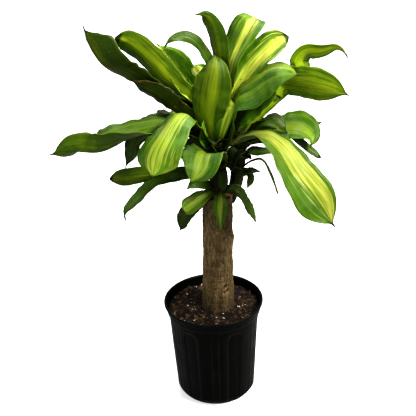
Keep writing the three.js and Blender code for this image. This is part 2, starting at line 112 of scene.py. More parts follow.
class Net:
    """A node tree written as nested calls: each call adds a node and gives back its output."""

    def __init__(self, tree):
        self.tree = tree

    def add(self, kind, inputs=(), output=0, **settings):
        """A new node with its inputs, in order or by name. output=None gives back the node itself."""
        node = self.tree.nodes.new(kind)
        for name, value in settings.items():
            setattr(node, name, value)
        pairs = inputs.items() if isinstance(inputs, dict) else enumerate(inputs)
        for key, value in pairs:
            self.feed(node.inputs[key], value)
        return node if output is None else node.outputs[output]

    def feed(self, socket, value):
        """Links an output to a socket, or sets the socket: a #rrggbb code stands for its colour."""
        if isinstance(value, bpy.types.NodeSocket):
            self.tree.links.new(value, socket)
        elif value is not None:
            is_code = isinstance(value, str) and value.startswith("#")
            socket.default_value = paint(value) if is_code else value

    def math(self, operation, *values):
        return self.add("ShaderNodeMath", values, operation=operation)

    def plus(self, *values):
        return reduce(lambda total, value: self.math("ADD", total, value), values)

    def times(self, *values):
        return reduce(lambda total, value: self.math("MULTIPLY", total, value), values)

    def minus(self, first, second):
        return self.math("SUBTRACT", first, second)

    def centred(self, share):
        """A share from 0 to 1, moved to lie evenly about nought."""
        return self.minus(share, 0.5)

    def vector(self, operation, *values):
        return self.add("ShaderNodeVectorMath", values, operation=operation)

    def scaled(self, vector, factor):
        return self.add("ShaderNodeVectorMath", {0: vector, "Scale": factor}, operation="SCALE")

    def join(self, x, y, z):
        return self.add("ShaderNodeCombineXYZ", (x, y, z))

    def parts(self, vector):
        return self.add("ShaderNodeSeparateXYZ", (vector,), output=None).outputs

    def ramp(self, value, low, high, to_low=0.0, to_high=1.0):
        """A smooth step from to_low to to_high while value goes from low to high."""
        return self.add("ShaderNodeMapRange", (value, low, high, to_low, to_high),
                        interpolation_type="SMOOTHSTEP")

    def noise(self, vector, scale, detail=3.0, roughness=0.55, distortion=0.0):
        return self.add("ShaderNodeTexNoise", {
            "Vector": vector, "Scale": scale, "Detail": detail,
            "Roughness": roughness, "Distortion": distortion})

    def blend(self, factor, first, second):
        """A mix of two colours. Its sockets go by number, because names are shared with other kinds."""
        return self.add("ShaderNodeMix", {0: factor, 6: first, 7: second}, output=2, data_type="RGBA")

    def bump(self, height, strength, distance, normal=None):
        return self.add("ShaderNodeBump", {
            "Height": height, "Strength": strength, "Distance": distance, "Normal": normal})

    def effect(self, tree, **values):
        """One of the shared effects, with its sockets given by name. Gives back its outputs."""
        node = self.add("ShaderNodeGroup", output=None, node_tree=tree)
        for key, value in values.items():
            self.feed(node.inputs[key.replace("_", " ").title()], value)
        return node.outputs

    def mottled(self, place, first, second, size, amount):
        return self.effect(MOTTLE, place=place, first=first, second=second, size=size,
                           amount=amount)["Color"]

    def finished(self, shape, finish, other_finish=None, where=None):
        """The last nodes of a shape's tree: real faces in their finish, and some of them in another."""
        real = self.add("GeometryNodeRealizeInstances", (shape,))
        shape = self.add("GeometryNodeSetMaterial", {"Geometry": real, "Material": finish})
        if other_finish is None:
            return shape
        return self.add("GeometryNodeSetMaterial", {
            "Geometry": shape, "Selection": where, "Material": other_finish})


def new_tree(name, kind, inputs, outputs):
    """A node group with named sockets, each given as (name, socket kind, value). Returns its Net,
    the outputs of its input node by name, and its output node."""
    tree = bpy.data.node_groups.new(name, kind)
    for in_out, sockets in (("INPUT", inputs), ("OUTPUT", outputs)):
        for socket_name, socket_kind, value in sockets:
            socket = tree.interface.new_socket(socket_name, in_out=in_out, socket_type=socket_kind)
            if value is not None:
                socket.default_value = value
    net = Net(tree)
    given = net.add("NodeGroupInput", output=None).outputs
    result = net.add("NodeGroupOutput", output=None)
    return net, given, result


FLOAT, WHOLE, PLACE = "NodeSocketFloat", "NodeSocketInt", "NodeSocketVector"
COLOUR, SHAPE, FINISH = "NodeSocketColor", "NodeSocketGeometry", "NodeSocketMaterial"


def shaped_by(tree, base, **values):
    """Runs a Geometry Nodes tree on an object and keeps the result as its plain mesh."""
    modifier = base.modifiers.new(tree.name, "NODES")
    modifier.node_group = tree
    for item in tree.interface.items_tree:
        key = item.name.lower().replace(" ", "_")
        if item.item_type == "SOCKET" and item.in_out == "INPUT" and key in values:
            modifier[item.identifier] = values[key]
    depsgraph = bpy.context.evaluated_depsgraph_get()
    mesh = bpy.data.meshes.new_from_object(
        base.evaluated_get(depsgraph), preserve_all_data_layers=True, depsgraph=depsgraph)
    base.modifiers.clear()
    base.data = mesh
    return base


# ---- Shader effects that several finishes share -------------------------------------------------

# Leaf patterns are drawn out along the blade by shrinking the place's second number.
STREAK_STRETCH = (1.0, 0.045, 1.0)
VEIN_STRETCH = (1.0, 0.02, 1.0)


def mottle_group():
    """Soft blotches of a second colour."""
    net, given, result = new_tree("mottle", "ShaderNodeTree", [
        ("Place", PLACE, None), ("First", COLOUR, None), ("Second", COLOUR, None),
        ("Size", FLOAT, 10.0), ("Amount", FLOAT, 0.5)], [("Color", COLOUR, None)])
    blotches = net.noise(given["Place"], given["Size"], detail=5.0, roughness=0.6)
    mask = net.times(net.ramp(blotches, 0.38, 0.62), given["Amount"])
    net.feed(result.inputs["Color"], net.blend(mask, given["First"], given["Second"]))
    return net.tree


def dust_and_sheen_group():
    """How much dust lies on a surface: most on what faces up, in uneven patches. On a leaf the same mask
    lays a pale film that is partly dust and partly a painted sheen.
    """
    net, given, result = new_tree("dust", "ShaderNodeTree", [
        ("Place", PLACE, None), ("Amount", FLOAT, 0.5), ("Size", FLOAT, 40.0)], [
        ("Mask", FLOAT, None)])
    up = net.parts(net.add("ShaderNodeNewGeometry", output="Normal"))[2]
    lying = net.ramp(up, 0.1, 0.9)
    patches = net.ramp(net.noise(given["Place"], given["Size"], detail=6.0, roughness=0.7), 0.4, 0.68)
    net.feed(result.inputs["Mask"], net.times(lying, patches, given["Amount"]))
    return net.tree


def streaks_group():
    """A leaf's middle stripe with ragged sides, green lines in it and thin pale ones beside it, the
    streaks along the blade, its broad bands and its veins."""
    net, given, result = new_tree("leaf_streaks", "ShaderNodeTree", [
        ("Place", PLACE, None), ("Across", FLOAT, 0.0), ("Stripe", PLACE, None)], [
        ("Stripe", FLOAT, None), ("Streaks", FLOAT, None), ("Bands", FLOAT, None),
        ("Veins", FLOAT, None)])
    centre, half, strength = net.parts(given["Stripe"])
    stretched = net.vector("MULTIPLY", given["Place"], STREAK_STRETCH)
    broad = net.noise(stretched, 95.0, detail=1.5)
    middle = net.noise(stretched, 230.0, detail=2.0, roughness=0.6)
    fine = net.noise(stretched, 520.0, detail=2.0, roughness=0.6)
    off = net.math("ABSOLUTE", net.minus(given["Across"], centre))
    ragged = net.plus(off, net.times(net.centred(broad), 0.5), net.times(net.centred(middle), 0.3))
    stripe = net.ramp(ragged, net.times(half, 1.14), net.times(half, 0.78))
    lines = net.times(net.ramp(middle, 0.52, 0.66), net.ramp(strength, 0.6, 1.0, 0.75, 0.35))
    lined = net.times(stripe, net.minus(1.0, lines))
    near = net.times(net.ramp(off, net.times(half, 3.2), half), 0.75)
    thin = net.times(net.ramp(middle, 0.46, 0.36), near)
    net.feed(result.inputs["Stripe"], net.times(net.math("MAXIMUM", lined, thin), strength))
    mixed = net.plus(net.times(fine, 0.5), net.times(middle, 0.5))
    net.feed(result.inputs["Streaks"], net.ramp(mixed, 0.4, 0.6))
    net.feed(result.inputs["Bands"], net.ramp(broad, 0.36, 0.64))
    veins = net.noise(net.vector("MULTIPLY", given["Place"], VEIN_STRETCH), 480.0, detail=1.0)
    net.feed(result.inputs["Veins"], veins)
    return net.tree


def leaf_green_group():
    """The banded green of a leaf with its stripe, its rim and its veins."""
    net, given, result = new_tree("leaf_green", "ShaderNodeTree", [
        ("Place", PLACE, None), ("Across", FLOAT, 0.0), ("Stripe", PLACE, None), ("Deep", COLOUR, None),
        ("Mid", COLOUR, None), ("Pale", COLOUR, None), ("Stripe Low", COLOUR, None),
        ("Stripe High", COLOUR, None), ("Edge Shade", FLOAT, 0.3)], [
        ("Color", COLOUR, None), ("Veins", FLOAT, None)])
    deep, pale, stripe_low = given["Deep"], given["Pale"], given["Stripe Low"]
    streaks = net.effect(STREAKS, place=given["Place"], across=given["Across"], stripe=given["Stripe"])
    strength = net.parts(given["Stripe"])[2]
    edge = net.math("ABSOLUTE", given["Across"])
    body = net.mottled(given["Place"], deep, given["Mid"], size=24.0, amount=0.9)
    body = net.blend(net.times(streaks["Bands"], net.ramp(strength, 0.1, 0.9, 0.12, 0.36)), body, pale)
    body = net.blend(net.times(streaks["Streaks"], 0.46), body, deep)
    body = net.blend(net.ramp(edge, 0.35, 0.95, 0.0, given["Edge Shade"]), body, deep)
    cream = net.blend(net.ramp(strength, 0.5, 1.0), stripe_low, given["Stripe High"])
    stripe = net.blend(net.times(streaks["Streaks"], 0.85), cream, stripe_low)
    colour = net.blend(streaks["Stripe"], body, stripe)
    colour = net.blend(net.times(net.ramp(edge, 0.965, 0.99), 0.5), colour, pale)
    colour = net.blend(net.ramp(streaks["Veins"], 0.5, 0.66, 0.0, 0.3), colour, deep)
    net.feed(result.inputs["Color"], colour)
    net.feed(result.inputs["Veins"], streaks["Veins"])
    return net.tree


def dried_group():
    """A leaf's colour with brown spots at its edges and its tip, and its dark needle."""
    net, given, result = new_tree("dried", "ShaderNodeTree", [
        ("Color", COLOUR, None), ("Place", PLACE, None), ("Across", FLOAT, 0.0), ("Along", FLOAT, 0.0),
        ("Burn", FLOAT, 0.0)], [("Color", COLOUR, None)])
    along, burn = given["Along"], given["Burn"]
    edge = net.math("ABSOLUTE", given["Across"])
    spots = net.noise(given["Place"], 70.0, detail=6.0, roughness=0.7)
    dryness = net.minus(burn, 0.25)
    dry_edge = net.times(net.math("MINIMUM", dryness, 0.75), net.ramp(edge, 0.7, 1.0, 0.0, 0.24))
    dry_tip = net.times(dryness, net.ramp(along, 0.84, 0.96, 0.0, 0.26))
    burnt = net.ramp(net.plus(spots, dry_edge, dry_tip), 0.66, 0.72)
    colour = net.blend(burnt, given["Color"], net.blend(spots, "#1a0e06", "#8a6a34"))
    needle = net.times(net.ramp(along, 0.95, 0.972), net.ramp(burn, 0.0, 0.1), 0.9)
    net.feed(result.inputs["Color"], net.blend(needle, colour, "#121206"))
    return net.tree


MOTTLE = mottle_group()
DUST_AND_SHEEN = dust_and_sheen_group()
STREAKS = streaks_group()
LEAF_GREEN = leaf_green_group()
DRIED = dried_group()


# ---- Finishes -----------------------------------------------------------------------------------

# The cane is darker where it leaves the soil, between these heights.
DARKER_FOOT_FROM = 190
DARKER_FOOT_TO = 250
CUT_RING_PITCH = 3200.0
CUT_EDGE_FROM = 21
CUT_EDGE_TO = 28


class Paint(Net):
    """The node tree of one new material, with its Principled BSDF at hand."""

    def __init__(self, name, **shader_values):
        self.material = bpy.data.materials.new(name)
        self.material.use_nodes = True
        super().__init__(self.material.node_tree)
        self.shader = self.tree.nodes["Principled BSDF"]
        for key, value in shader_values.items():
            self.feed(self.shader.inputs[key.replace("_", " ")], value)

    def object_place(self):
        return self.add("ShaderNodeTexCoord", output="Object")

    def kept(self, name, output="Fac"):
        """A value that a piece's mesh keeps under a name."""
        return self.add("ShaderNodeAttribute", output=output, attribute_name=name)

    def finish(self, colour, roughness, normal):
        for name, value in (("Base Color", colour), ("Roughness", roughness), ("Normal", normal)):
            self.feed(self.shader.inputs[name], value)
        return self.material


def leaf_finish(name, tone_part, gloss, **shades):
    """One side of a leaf. Its part number picks which of the leaf's two painted brightnesses, painted light
    or shade, this side takes; its base is darkened with painted shade.
    """
    p = Paint(name, IOR=1.45, Specular_IOR_Level=0.36, Specular_Tint="#e0f0b0")
    place, stripe = p.kept("leaf_place", "Vector"), p.kept("stripe", "Vector")
    across, along = p.kept("across"), p.kept("along")
    tone = p.parts(p.kept("tone", "Vector"))
    green = p.effect(LEAF_GREEN, place=place, across=across, stripe=stripe, **shades)
    # Painted light and shade: the colour is lifted or darkened by the leaf's brightness for this side.
    shaded_colour = p.vector("MULTIPLY", green["Color"], p.join(*[tone[tone_part]] * 3))
    # Painted shade: darker towards the blade's base, deep in the crown.
    shaded_colour = p.blend(p.ramp(along, 0.42, 0.0, 0.0, 0.62), shaded_colour, "#0c1402")
    # A pale grey film in patches on upward faces: partly dust, partly a painted sheen.
    shaded_colour = p.blend(p.effect(DUST_AND_SHEEN, place=place, amount=0.16, size=30.0)["Mask"], shaded_colour, "#9aa088")
    dried = p.effect(DRIED, color=shaded_colour, place=place, across=across, along=along, burn=tone[2])
    rough = p.plus(gloss, p.times(green["Veins"], 0.14))
    return p.finish(dried["Color"], rough, p.bump(green["Veins"], 0.7, 0.001))


def upper_leaf_finish():
    return leaf_finish("leaf_upper", tone_part=0, gloss=0.34, deep="#2d5608", mid="#5e8b1a", pale="#8aa530",
                       stripe_low="#9bb42a", stripe_high="#d6d65e", edge_shade=0.3)


def under_leaf_finish():
    return leaf_finish("leaf_under", tone_part=1, gloss=0.4, deep="#2f4f04", mid="#637e0e", pale="#8f9a1a",
                       stripe_low="#93a416", stripe_high="#adb434", edge_shade=0.6)


def pot_finish():
    """Black plastic, dusty on top, scuffed along its wall, and grey on its edges and rib crests, partly wear
    and partly a painted highlight.
    """
    p = Paint("pot_plastic", IOR=1.5, Specular_IOR_Level=0.11)
    place = p.object_place()
    colour = p.mottled(place, "#020302", "#070806", size=22.0, amount=0.8)
    dust = p.effect(DUST_AND_SHEEN, place=place, amount=0.2, size=60.0)["Mask"]
    colour = p.blend(dust, colour, "#3c342a")
    upright = p.vector("MULTIPLY", place, (1.0, 1.0, 0.12))
    scuffs = p.ramp(p.noise(upright, 260.0, detail=4.0), 0.6, 0.72)
    colour = p.blend(p.times(scuffs, 0.2), colour, "#2c2c2a")
    # Grey on sharp edges and rib crests: partly wear, partly a painted highlight.
    edge_wear_and_highlight = p.ramp(p.add("ShaderNodeNewGeometry", output="Pointiness"), 0.508, 0.55)
    colour = p.blend(p.times(edge_wear_and_highlight, 0.75), colour, "#454743")
    rough = p.ramp(p.noise(place, 35.0, detail=5.0), 0.3, 0.7, 0.3, 0.46)
    normal = p.bump(p.noise(place, 1400.0, detail=2.0), 0.12, 0.0004)
    return p.finish(colour, p.plus(rough, p.times(dust, 0.4)), normal)


def bark_finish():
    """Tan bark with dark grain, pale flakes and a green tinge, and painted shade in its cracks, rings and
    pits.
    """
    p = Paint("cane_bark", IOR=1.4)
    place = p.object_place()
    upright = p.vector("MULTIPLY", place, (1.0, 1.0, 0.16))
    base = p.mottled(upright, "#745f3a", "#a88f60", size=60.0, amount=0.8)
    grain = p.noise(upright, 420.0, detail=6.0, roughness=0.7)
    colour = p.blend(p.ramp(grain, 0.36, 0.6), "#4a3b1d", base)
    # Painted shade: the cracks and rings are darkened.
    colour = p.blend(p.ramp(p.kept("groove"), 0.3, 1.0, 0.0, 0.62), colour, "#33260f")
    # Painted shade: the pits go almost black inside.
    colour = p.blend(p.ramp(p.kept("pit"), 0.25, 0.7, 0.0, 0.95), colour, "#0d0803")
    flakes = p.ramp(p.noise(place, 95.0, detail=7.0, roughness=0.75), 0.56, 0.66)
    colour = p.blend(p.times(flakes, 0.55), colour, "#b3a079")
    colour = p.blend(p.ramp(p.noise(place, 30.0, detail=4.0), 0.5, 0.7, 0.0, 0.25), colour, "#5a6238")
    darker_foot = p.ramp(p.parts(place)[2], DARKER_FOOT_FROM * MM, DARKER_FOOT_TO * MM, 0.85, 0.0)
    colour = p.blend(darker_foot, colour, "#1c1208")
    normal = p.bump(grain, 0.7, 0.0012)
    normal = p.bump(p.noise(place, 900.0, detail=3.0), 0.35, 0.0005, normal)
    return p.finish(colour, p.ramp(grain, 0.2, 0.8, 0.92, 0.68), normal)


def cut_wood_finish():
    """The flat top of the cane: tan wood with rings, and darker towards the bark."""
    p = Paint("cut_cane", IOR=1.4)
    place = p.object_place()
    x, y, _ = p.parts(p.vector("SUBTRACT", place, (CANE_TOP_X * MM, 0.0, 0.0)))
    from_centre = p.math("SQRT", p.plus(p.times(x, x), p.times(y, y)))
    wobble = p.times(p.noise(place, 60.0), 0.004)
    rings = p.math("SINE", p.times(p.plus(from_centre, wobble), CUT_RING_PITCH))
    colour = p.blend(p.ramp(rings, -0.6, 0.8), "#5a4627", "#7a6238")
    edge = p.ramp(from_centre, CUT_EDGE_FROM * MM, CUT_EDGE_TO * MM)
    return p.finish(p.blend(edge, colour, "#5a4830"), 0.85,
                    p.bump(p.noise(place, 900.0, detail=4.0), 0.5, 0.0006))


def stem_finish():
    """Dark green, browner lower down, with dark leaf scars."""
    p = Paint("green_stem", IOR=1.45, Specular_IOR_Level=0.18)
    place = p.object_place()
    upright = p.vector("MULTIPLY", place, (1.0, 1.0, 0.35))
    green = p.mottled(upright, "#101a05", "#28360e", size=70.0, amount=0.8)
    brown = p.mottled(place, "#1d180e", "#40361e", size=90.0, amount=0.9)
    colour = p.blend(p.times(p.ramp(p.kept("along"), 0.42, 0.05), 0.55), green, brown)
    colour = p.blend(p.ramp(p.kept("groove"), 0.5, 1.0, 0.0, 0.7), colour, "#0e0c06")
    normal = p.bump(p.noise(place, 600.0, detail=4.0), 0.4, 0.0006)
    return p.finish(colour, p.ramp(p.noise(place, 90.0), 0.3, 0.7, 0.6, 0.8), normal)


def soil_finish():
    p = Paint("soil_bed", IOR=1.35)
    place = p.object_place()
    base = p.mottled(place, "#070403", "#180f08", size=130.0, amount=0.95)
    fine = p.noise(place, 800.0, detail=5.0, roughness=0.75)
    colour = p.blend(p.ramp(fine, 0.48, 0.78, 0.0, 0.6), base, "#2e1f14")
    return p.finish(colour, 0.95, p.bump(fine, 1.0, 0.0016))


def crumb_finish(name, dark, light, flecks):
    """Crumbs of one kind: each crumb takes its own shade."""
    p = Paint(name, IOR=1.35)
    place = p.object_place()
    shade = p.add("ShaderNodeNewGeometry", output="Random Per Island")
    colour = p.blend(shade, dark, light)
    grain = p.noise(place, 1100.0, detail=4.0, roughness=0.7)
    colour = p.blend(p.ramp(grain, 0.5, 0.8, 0.0, 0.6), colour, flecks)
    return p.finish(colour, 0.88, p.bump(grain, 0.8, 0.0008))


# ---- The nursery pot ----------------------------------------------------------------------------

POT_HEIGHT = 216
RIM_RADIUS = 102
LIP_HEIGHT = 5
BAND_RADIUS = 98
BAND_BOTTOM = 192
BODY_TOP_RADIUS = 93
BODY_FOOT_RADIUS = 82
FOOT_HEIGHT = 15
BASE_RADIUS = 73
BASE_HOLLOW = 1.2
POT_WALL = 1.6
POT_FLOOR = 3
POT_SIDES = 288
BODY_RINGS = 76
INNER_RINGS = 30
UNDERSIDE_RINGS = (0, 12, BASE_RADIUS - 20)
# The tapering body is drawn up to this far below the band, where the rounded collar begins.
BODY_END_BELOW_BAND = 5

# The corners of the pot's edges: how far in from the edge's radius, and how far up from its height.
STANDING_RING_CORNERS = [(9, BASE_HOLLOW), (7, 0), (0, 0)]
FOOT_CORNERS = [(1, -3), (0, 0)]
BAND_CORNERS = [(2, 0), (1.6, 4), (0.9, 5)]
UNDER_LIP_CORNERS = [(0.8, -7), (0.1, -6), (0, -0.8)]
LIP_FOOT_CORNERS = [(0.6, 0), (0, 0.6)]
LIP_TOP_CORNERS = [(0, -1.2), (1.2, 0), (3.4, 0)]
INNER_LIP_CORNERS = [(0, -2.5), (0.3, -9)]
# How often the corners are cut, and how far along the lines beside them.
CORNER_CUTS = 3
CORNER_CUT_SHARE = 0.28

PANEL_COUNT = 6
PANEL_FIRST_ANGLE = math.radians(-64)
PANEL_HALF_WIDTH = 18
PANEL_SLOPE = 5
PANEL_DEPTH = 2
PANEL_TOP = 184
# The wall is this much thicker on the inside, so that the pressed panels don't break through it.
PANEL_BACKING = 0.6

# How far each rib stands from the middle of its panel, and the heights between which they fade.
RIB_PLACES = (23.5, 36.0, 47.0)
RIB_HALF_WIDTH = 0.7
RIB_HEIGHT = 0.8
RIB_FOOT_FADE = (FOOT_HEIGHT, FOOT_HEIGHT + 10)
RIB_TOP_FADE = (PANEL_TOP - 14, PANEL_TOP + 2)

# The drain holes, one under each panel, cut through the sloped foot edge.
DRAIN_WIDTH = 15
DRAIN_HEIGHT = 9
DRAIN_REACH = 26
DRAIN_BELOW_FLOOR = 0.5
DRAIN_OUT_OF_BASE = 6
DRAIN_ROUNDING = 2.5


def smooth_step(value, low, high):
    share = np.clip((value - low) / (high - low), 0, 1)
    return share * share * (3 - 2 * share)


def from_nearest_panel(angle):
    """How far round the wall a place is from the middle of the nearest panel, in millimetres."""
    pitch = 2 * math.pi / PANEL_COUNT
    from_first = angle - PANEL_FIRST_ANGLE
    return (from_first - pitch * np.round(from_first / pitch)) * BODY_TOP_RADIUS


def panel_depth(angle, height):
    """How deep the upright panels, round at their tops, are pressed into the wall."""
    above = np.maximum(0, height - (PANEL_TOP - PANEL_HALF_WIDTH))
    reach = np.hypot(from_nearest_panel(angle), above)
    return PANEL_DEPTH * (1 - smooth_step(reach, PANEL_HALF_WIDTH - PANEL_SLOPE, PANEL_HALF_WIDTH))


def stiffening_ribs(angle, height):
    """Fine upright lines that stand out of the raised faces between the panels."""
    off = np.abs(from_nearest_panel(angle))
    ribs = sum(np.exp(-((off - place) / RIB_HALF_WIDTH) ** 2) for place in RIB_PLACES)
    fade = smooth_step(height, *RIB_FOOT_FADE) * (1 - smooth_step(height, *RIB_TOP_FADE))
    return RIB_HEIGHT * ribs * fade


def wall_radius(height):
    share = (height - FOOT_HEIGHT) / (BAND_BOTTOM - FOOT_HEIGHT)
    return BODY_FOOT_RADIUS + (BODY_TOP_RADIUS - BODY_FOOT_RADIUS) * share


def corners(radius, height, offsets):
    return [(radius - inward, height + up) for inward, up in offsets]


def rounded(points):
    """Rounds the corners of a profile by cutting them again and again."""
    for _ in range(CORNER_CUTS):
        softer = [points[0]]
        for (r0, z0), (r1, z1) in zip(points, points[1:]):
            softer.append((r0 + (r1 - r0) * CORNER_CUT_SHARE, z0 + (z1 - z0) * CORNER_CUT_SHARE))
            softer.append((r1 - (r1 - r0) * CORNER_CUT_SHARE, z1 - (z1 - z0) * CORNER_CUT_SHARE))
        softer.append(points[-1])
        points = softer
    return points


def pot_profile():
    """The pot's outline from the middle of its underside, up the outside and down the inside."""
    lip_foot = POT_HEIGHT - LIP_HEIGHT
    inner_band = BAND_RADIUS - POT_WALL
    body_end = BAND_BOTTOM - BODY_END_BELOW_BAND
    underside = [(radius, BASE_HOLLOW) for radius in UNDERSIDE_RINGS]
    foot = rounded([*corners(BASE_RADIUS, 0, STANDING_RING_CORNERS),
                    *corners(BODY_FOOT_RADIUS, FOOT_HEIGHT, FOOT_CORNERS)])
    body = [(wall_radius(z), z) for z in np.linspace(FOOT_HEIGHT + 1, body_end, BODY_RINGS)]
    collar = rounded([
        (wall_radius(body_end), body_end + 0.5), (wall_radius(BAND_BOTTOM - 1), BAND_BOTTOM - 1),
        *corners(BAND_RADIUS, BAND_BOTTOM, BAND_CORNERS), *corners(BAND_RADIUS, lip_foot, UNDER_LIP_CORNERS),
        *corners(RIM_RADIUS, lip_foot, LIP_FOOT_CORNERS), *corners(RIM_RADIUS, POT_HEIGHT, LIP_TOP_CORNERS),
        *corners(inner_band, POT_HEIGHT, INNER_LIP_CORNERS)])
    inner = [(wall_radius(z) - POT_WALL - PANEL_BACKING, z)
             for z in np.linspace(BAND_BOTTOM - 1, FOOT_HEIGHT, INNER_RINGS)]
    floor = [(BASE_RADIUS - POT_WALL, POT_FLOOR), (0, POT_FLOOR)]
    return [*underside, *foot, *body, *collar, *inner, *floor]


def ring_faces(rings, sides):
    """The faces between each ring of points and the next one."""
    faces = []
    for i in range(rings - 1):
        for j in range(sides):
            k = (j + 1) % sides
            faces.append((i * sides + j, i * sides + k, (i + 1) * sides + k, (i + 1) * sides + j))
    return faces


def turned(profile, sides):
    """A closed surface of revolution: the radius, angle and height of its points, the heights of its
    two ends on the axis, and its faces."""
    profile = np.asarray(profile, float)
    angles = np.linspace(0, 2 * math.pi, sides, endpoint=False)
    middle = profile[1:-1]
    radius = np.repeat(middle[:, 0], sides)
    height = np.repeat(middle[:, 1], sides)
    angle = np.tile(angles, len(middle))
    rings = len(middle)
    faces = ring_faces(rings, sides)
    first, last = rings * sides, rings * sides + 1
    for j in range(sides):
        k = (j + 1) % sides
        faces.append((first, k, j))
        faces.append((last, (rings - 1) * sides + j, (rings - 1) * sides + k))
    ends = profile[[0, -1], 1]
    return radius, angle, height, ends, faces


def on_axis(radius, angle, height, ends):
    """The points of a turned surface, about the upright axis."""
    points = np.stack([radius * np.cos(angle), radius * np.sin(angle), height], 1)
    return np.vstack([points, [[0, 0, ends[0]], [0, 0, ends[1]]]])


def rounded_box(size, centre, angle, bevel):
    """A box with rounded edges, for a drain hole's cutter, turned about the pot's axis."""
    mesh = bpy.data.meshes.new("cutter")
    corner_places = [Vector((x * size[0] / 2, y * size[1] / 2, z * size[2] / 2)) + Vector(centre)
                     for x in (-1, 1) for y in (-1, 1) for z in (-1, 1)]
    turn = Matrix.Rotation(angle, 3, "Z")
    faces = [(0, 1, 3, 2), (4, 6, 7, 5), (0, 4, 5, 1), (2, 3, 7, 6), (0, 2, 6, 4), (1, 5, 7, 3)]
    mesh.from_pydata([tuple(turn @ corner * MM) for corner in corner_places], [], faces)
    cutter = bpy.data.objects.new("cutter", mesh)
    bpy.context.scene.collection.objects.link(cutter)
    edge = cutter.modifiers.new("rounding", "BEVEL")
    edge.width = bevel * MM
    edge.segments = 3
    return cutter


def cut_out(piece, cutter):
    """Takes a cutter's shape out of a piece, and the cutter out of the scene."""
    cut = piece.modifiers.new("cut out", "BOOLEAN")
    cut.object = cutter
    cut.solver = "EXACT"
    depsgraph = bpy.context.evaluated_depsgraph_get()
    mesh = bpy.data.meshes.new_from_object(piece.evaluated_get(depsgraph))
    piece.modifiers.clear()
    piece.data = mesh
    bpy.data.objects.remove(cutter)


def make_pot():
    radius, angle, height, ends, faces = turned(pot_profile(), POT_SIDES)
    # The panels are pressed into both faces of the wall between foot and band, and the ribs stand
    # on its outer face.
    wall = (height > POT_FLOOR + 0.5) & (height < BAND_BOTTOM - 2) & (radius > BASE_RADIUS - 1)
    outside = radius > wall_radius(height) - 0.5
    pressed = panel_depth(angle, height)
    raised = np.where(outside, stiffening_ribs(angle, height), 0)
    radius = radius - np.where(wall, pressed - raised, 0)
    pot = mesh_object("pot", on_axis(radius, angle, height, ends), faces)
    hole_size = (DRAIN_REACH, DRAIN_WIDTH, DRAIN_HEIGHT)
    hole_centre = (BASE_RADIUS + DRAIN_OUT_OF_BASE, 0, POT_FLOOR + DRAIN_HEIGHT / 2 - DRAIN_BELOW_FLOOR)
    for i in range(PANEL_COUNT):
        turn = PANEL_FIRST_ANGLE + i * 2 * math.pi / PANEL_COUNT
        cut_out(pot, rounded_box(hole_size, hole_centre, turn, DRAIN_ROUNDING))
    pot.data.polygons.foreach_set("use_smooth", [True] * len(pot.data.polygons))
    pot.data.materials.append(pot_finish())
    return pot


# ---- The cane -----------------------------------------------------------------------------------

CANE_FOOT = 80
CANE_TOP = 455
CANE_FOOT_RADIUS = 32.5
CANE_TOP_RADIUS = 28.5
CANE_FOOT_X = 5
CANE_TOP_X = 17
CANE_SIDES = 180
CANE_RINGS = 330
SOIL_LEVEL = 197
CANE_EDGE_BELOW_TOP = 1.5
# The cut top from its edge inwards: the share of the radius, and how far below the top.
CANE_CROWN = [(0.985, 0.5), (0.95, 0), (0.7, 0.2), (0.35, 0.5), (0, 0.6)]
CUT_FACE_DEPTH = 1.2
# The cane is a little wider where it leaves the soil.
FLARE = 2
FLARE_SPREAD = 20

# Long furrows: how deep, how many round the cane, how they twist with height, where they start.
FURROWS = [(0.9, 7, 0.012, 0), (0.6, 11, -0.02, 1)]
LOW_RING_HEIGHT = 0.5
LOW_RING_SPREAD = 9
# Swellings of the bark: angle in degrees, height, how far it stands out, size.
KNOTS = [(4, 357, 3.2, 11), (-68, 262, 2.2, 9), (150, 300, 2.4, 12), (95, 395, 2.6, 12)]
# Small holes where shoots were cut, darkened inside with painted shade: angle in degrees, height, how far it
# goes in, size.
PITS = [(-62, 262, 2.6, 4.0), (-52, 249, 2.2, 3.6), (-66, 246, 1.6, 2.6), (-46, 258, 1.4, 2.4),
        (-24, 366, 1.8, 2.8), (-102, 255, 0.9, 1.8), (-58, 286, 1.0, 1.8), (110, 310, 2.2, 3.4)]


def cane_centre(height):
    return CANE_FOOT_X + (CANE_TOP_X - CANE_FOOT_X) * (height - CANE_FOOT) / (CANE_TOP - CANE_FOOT)


def mark_share(angle, height, degrees, mark_height, size):
    """How strongly a knot or a pit acts on the bark at a place: 1 at its middle, 0 far away."""
    turn = np.cos(angle - math.radians(degrees))
    across = np.arccos(np.clip(turn, -1, 1)) * CANE_TOP_RADIUS
    return np.exp(-(across ** 2 + (height - mark_height) ** 2) / size ** 2)


def pit_share(angle, height):
    return sum(mark_share(angle, height, degrees, place, size) for degrees, place, _, size in PITS)


def bark_form(angle, height):
    """Shallow furrows, low rings, knots and pits, as on the part's cane."""
    furrows = sum(depth * np.sin(count * angle + twist * height + start)
                  for depth, count, twist, start in FURROWS)
    relief = furrows + LOW_RING_HEIGHT * np.sin(height / LOW_RING_SPREAD)
    for degrees, place, rise, size in KNOTS:
        relief = relief + rise * mark_share(angle, height, degrees, place, size)
    for degrees, place, depth, size in PITS:
        relief = relief - depth * mark_share(angle, height, degrees, place, size)
    return relief


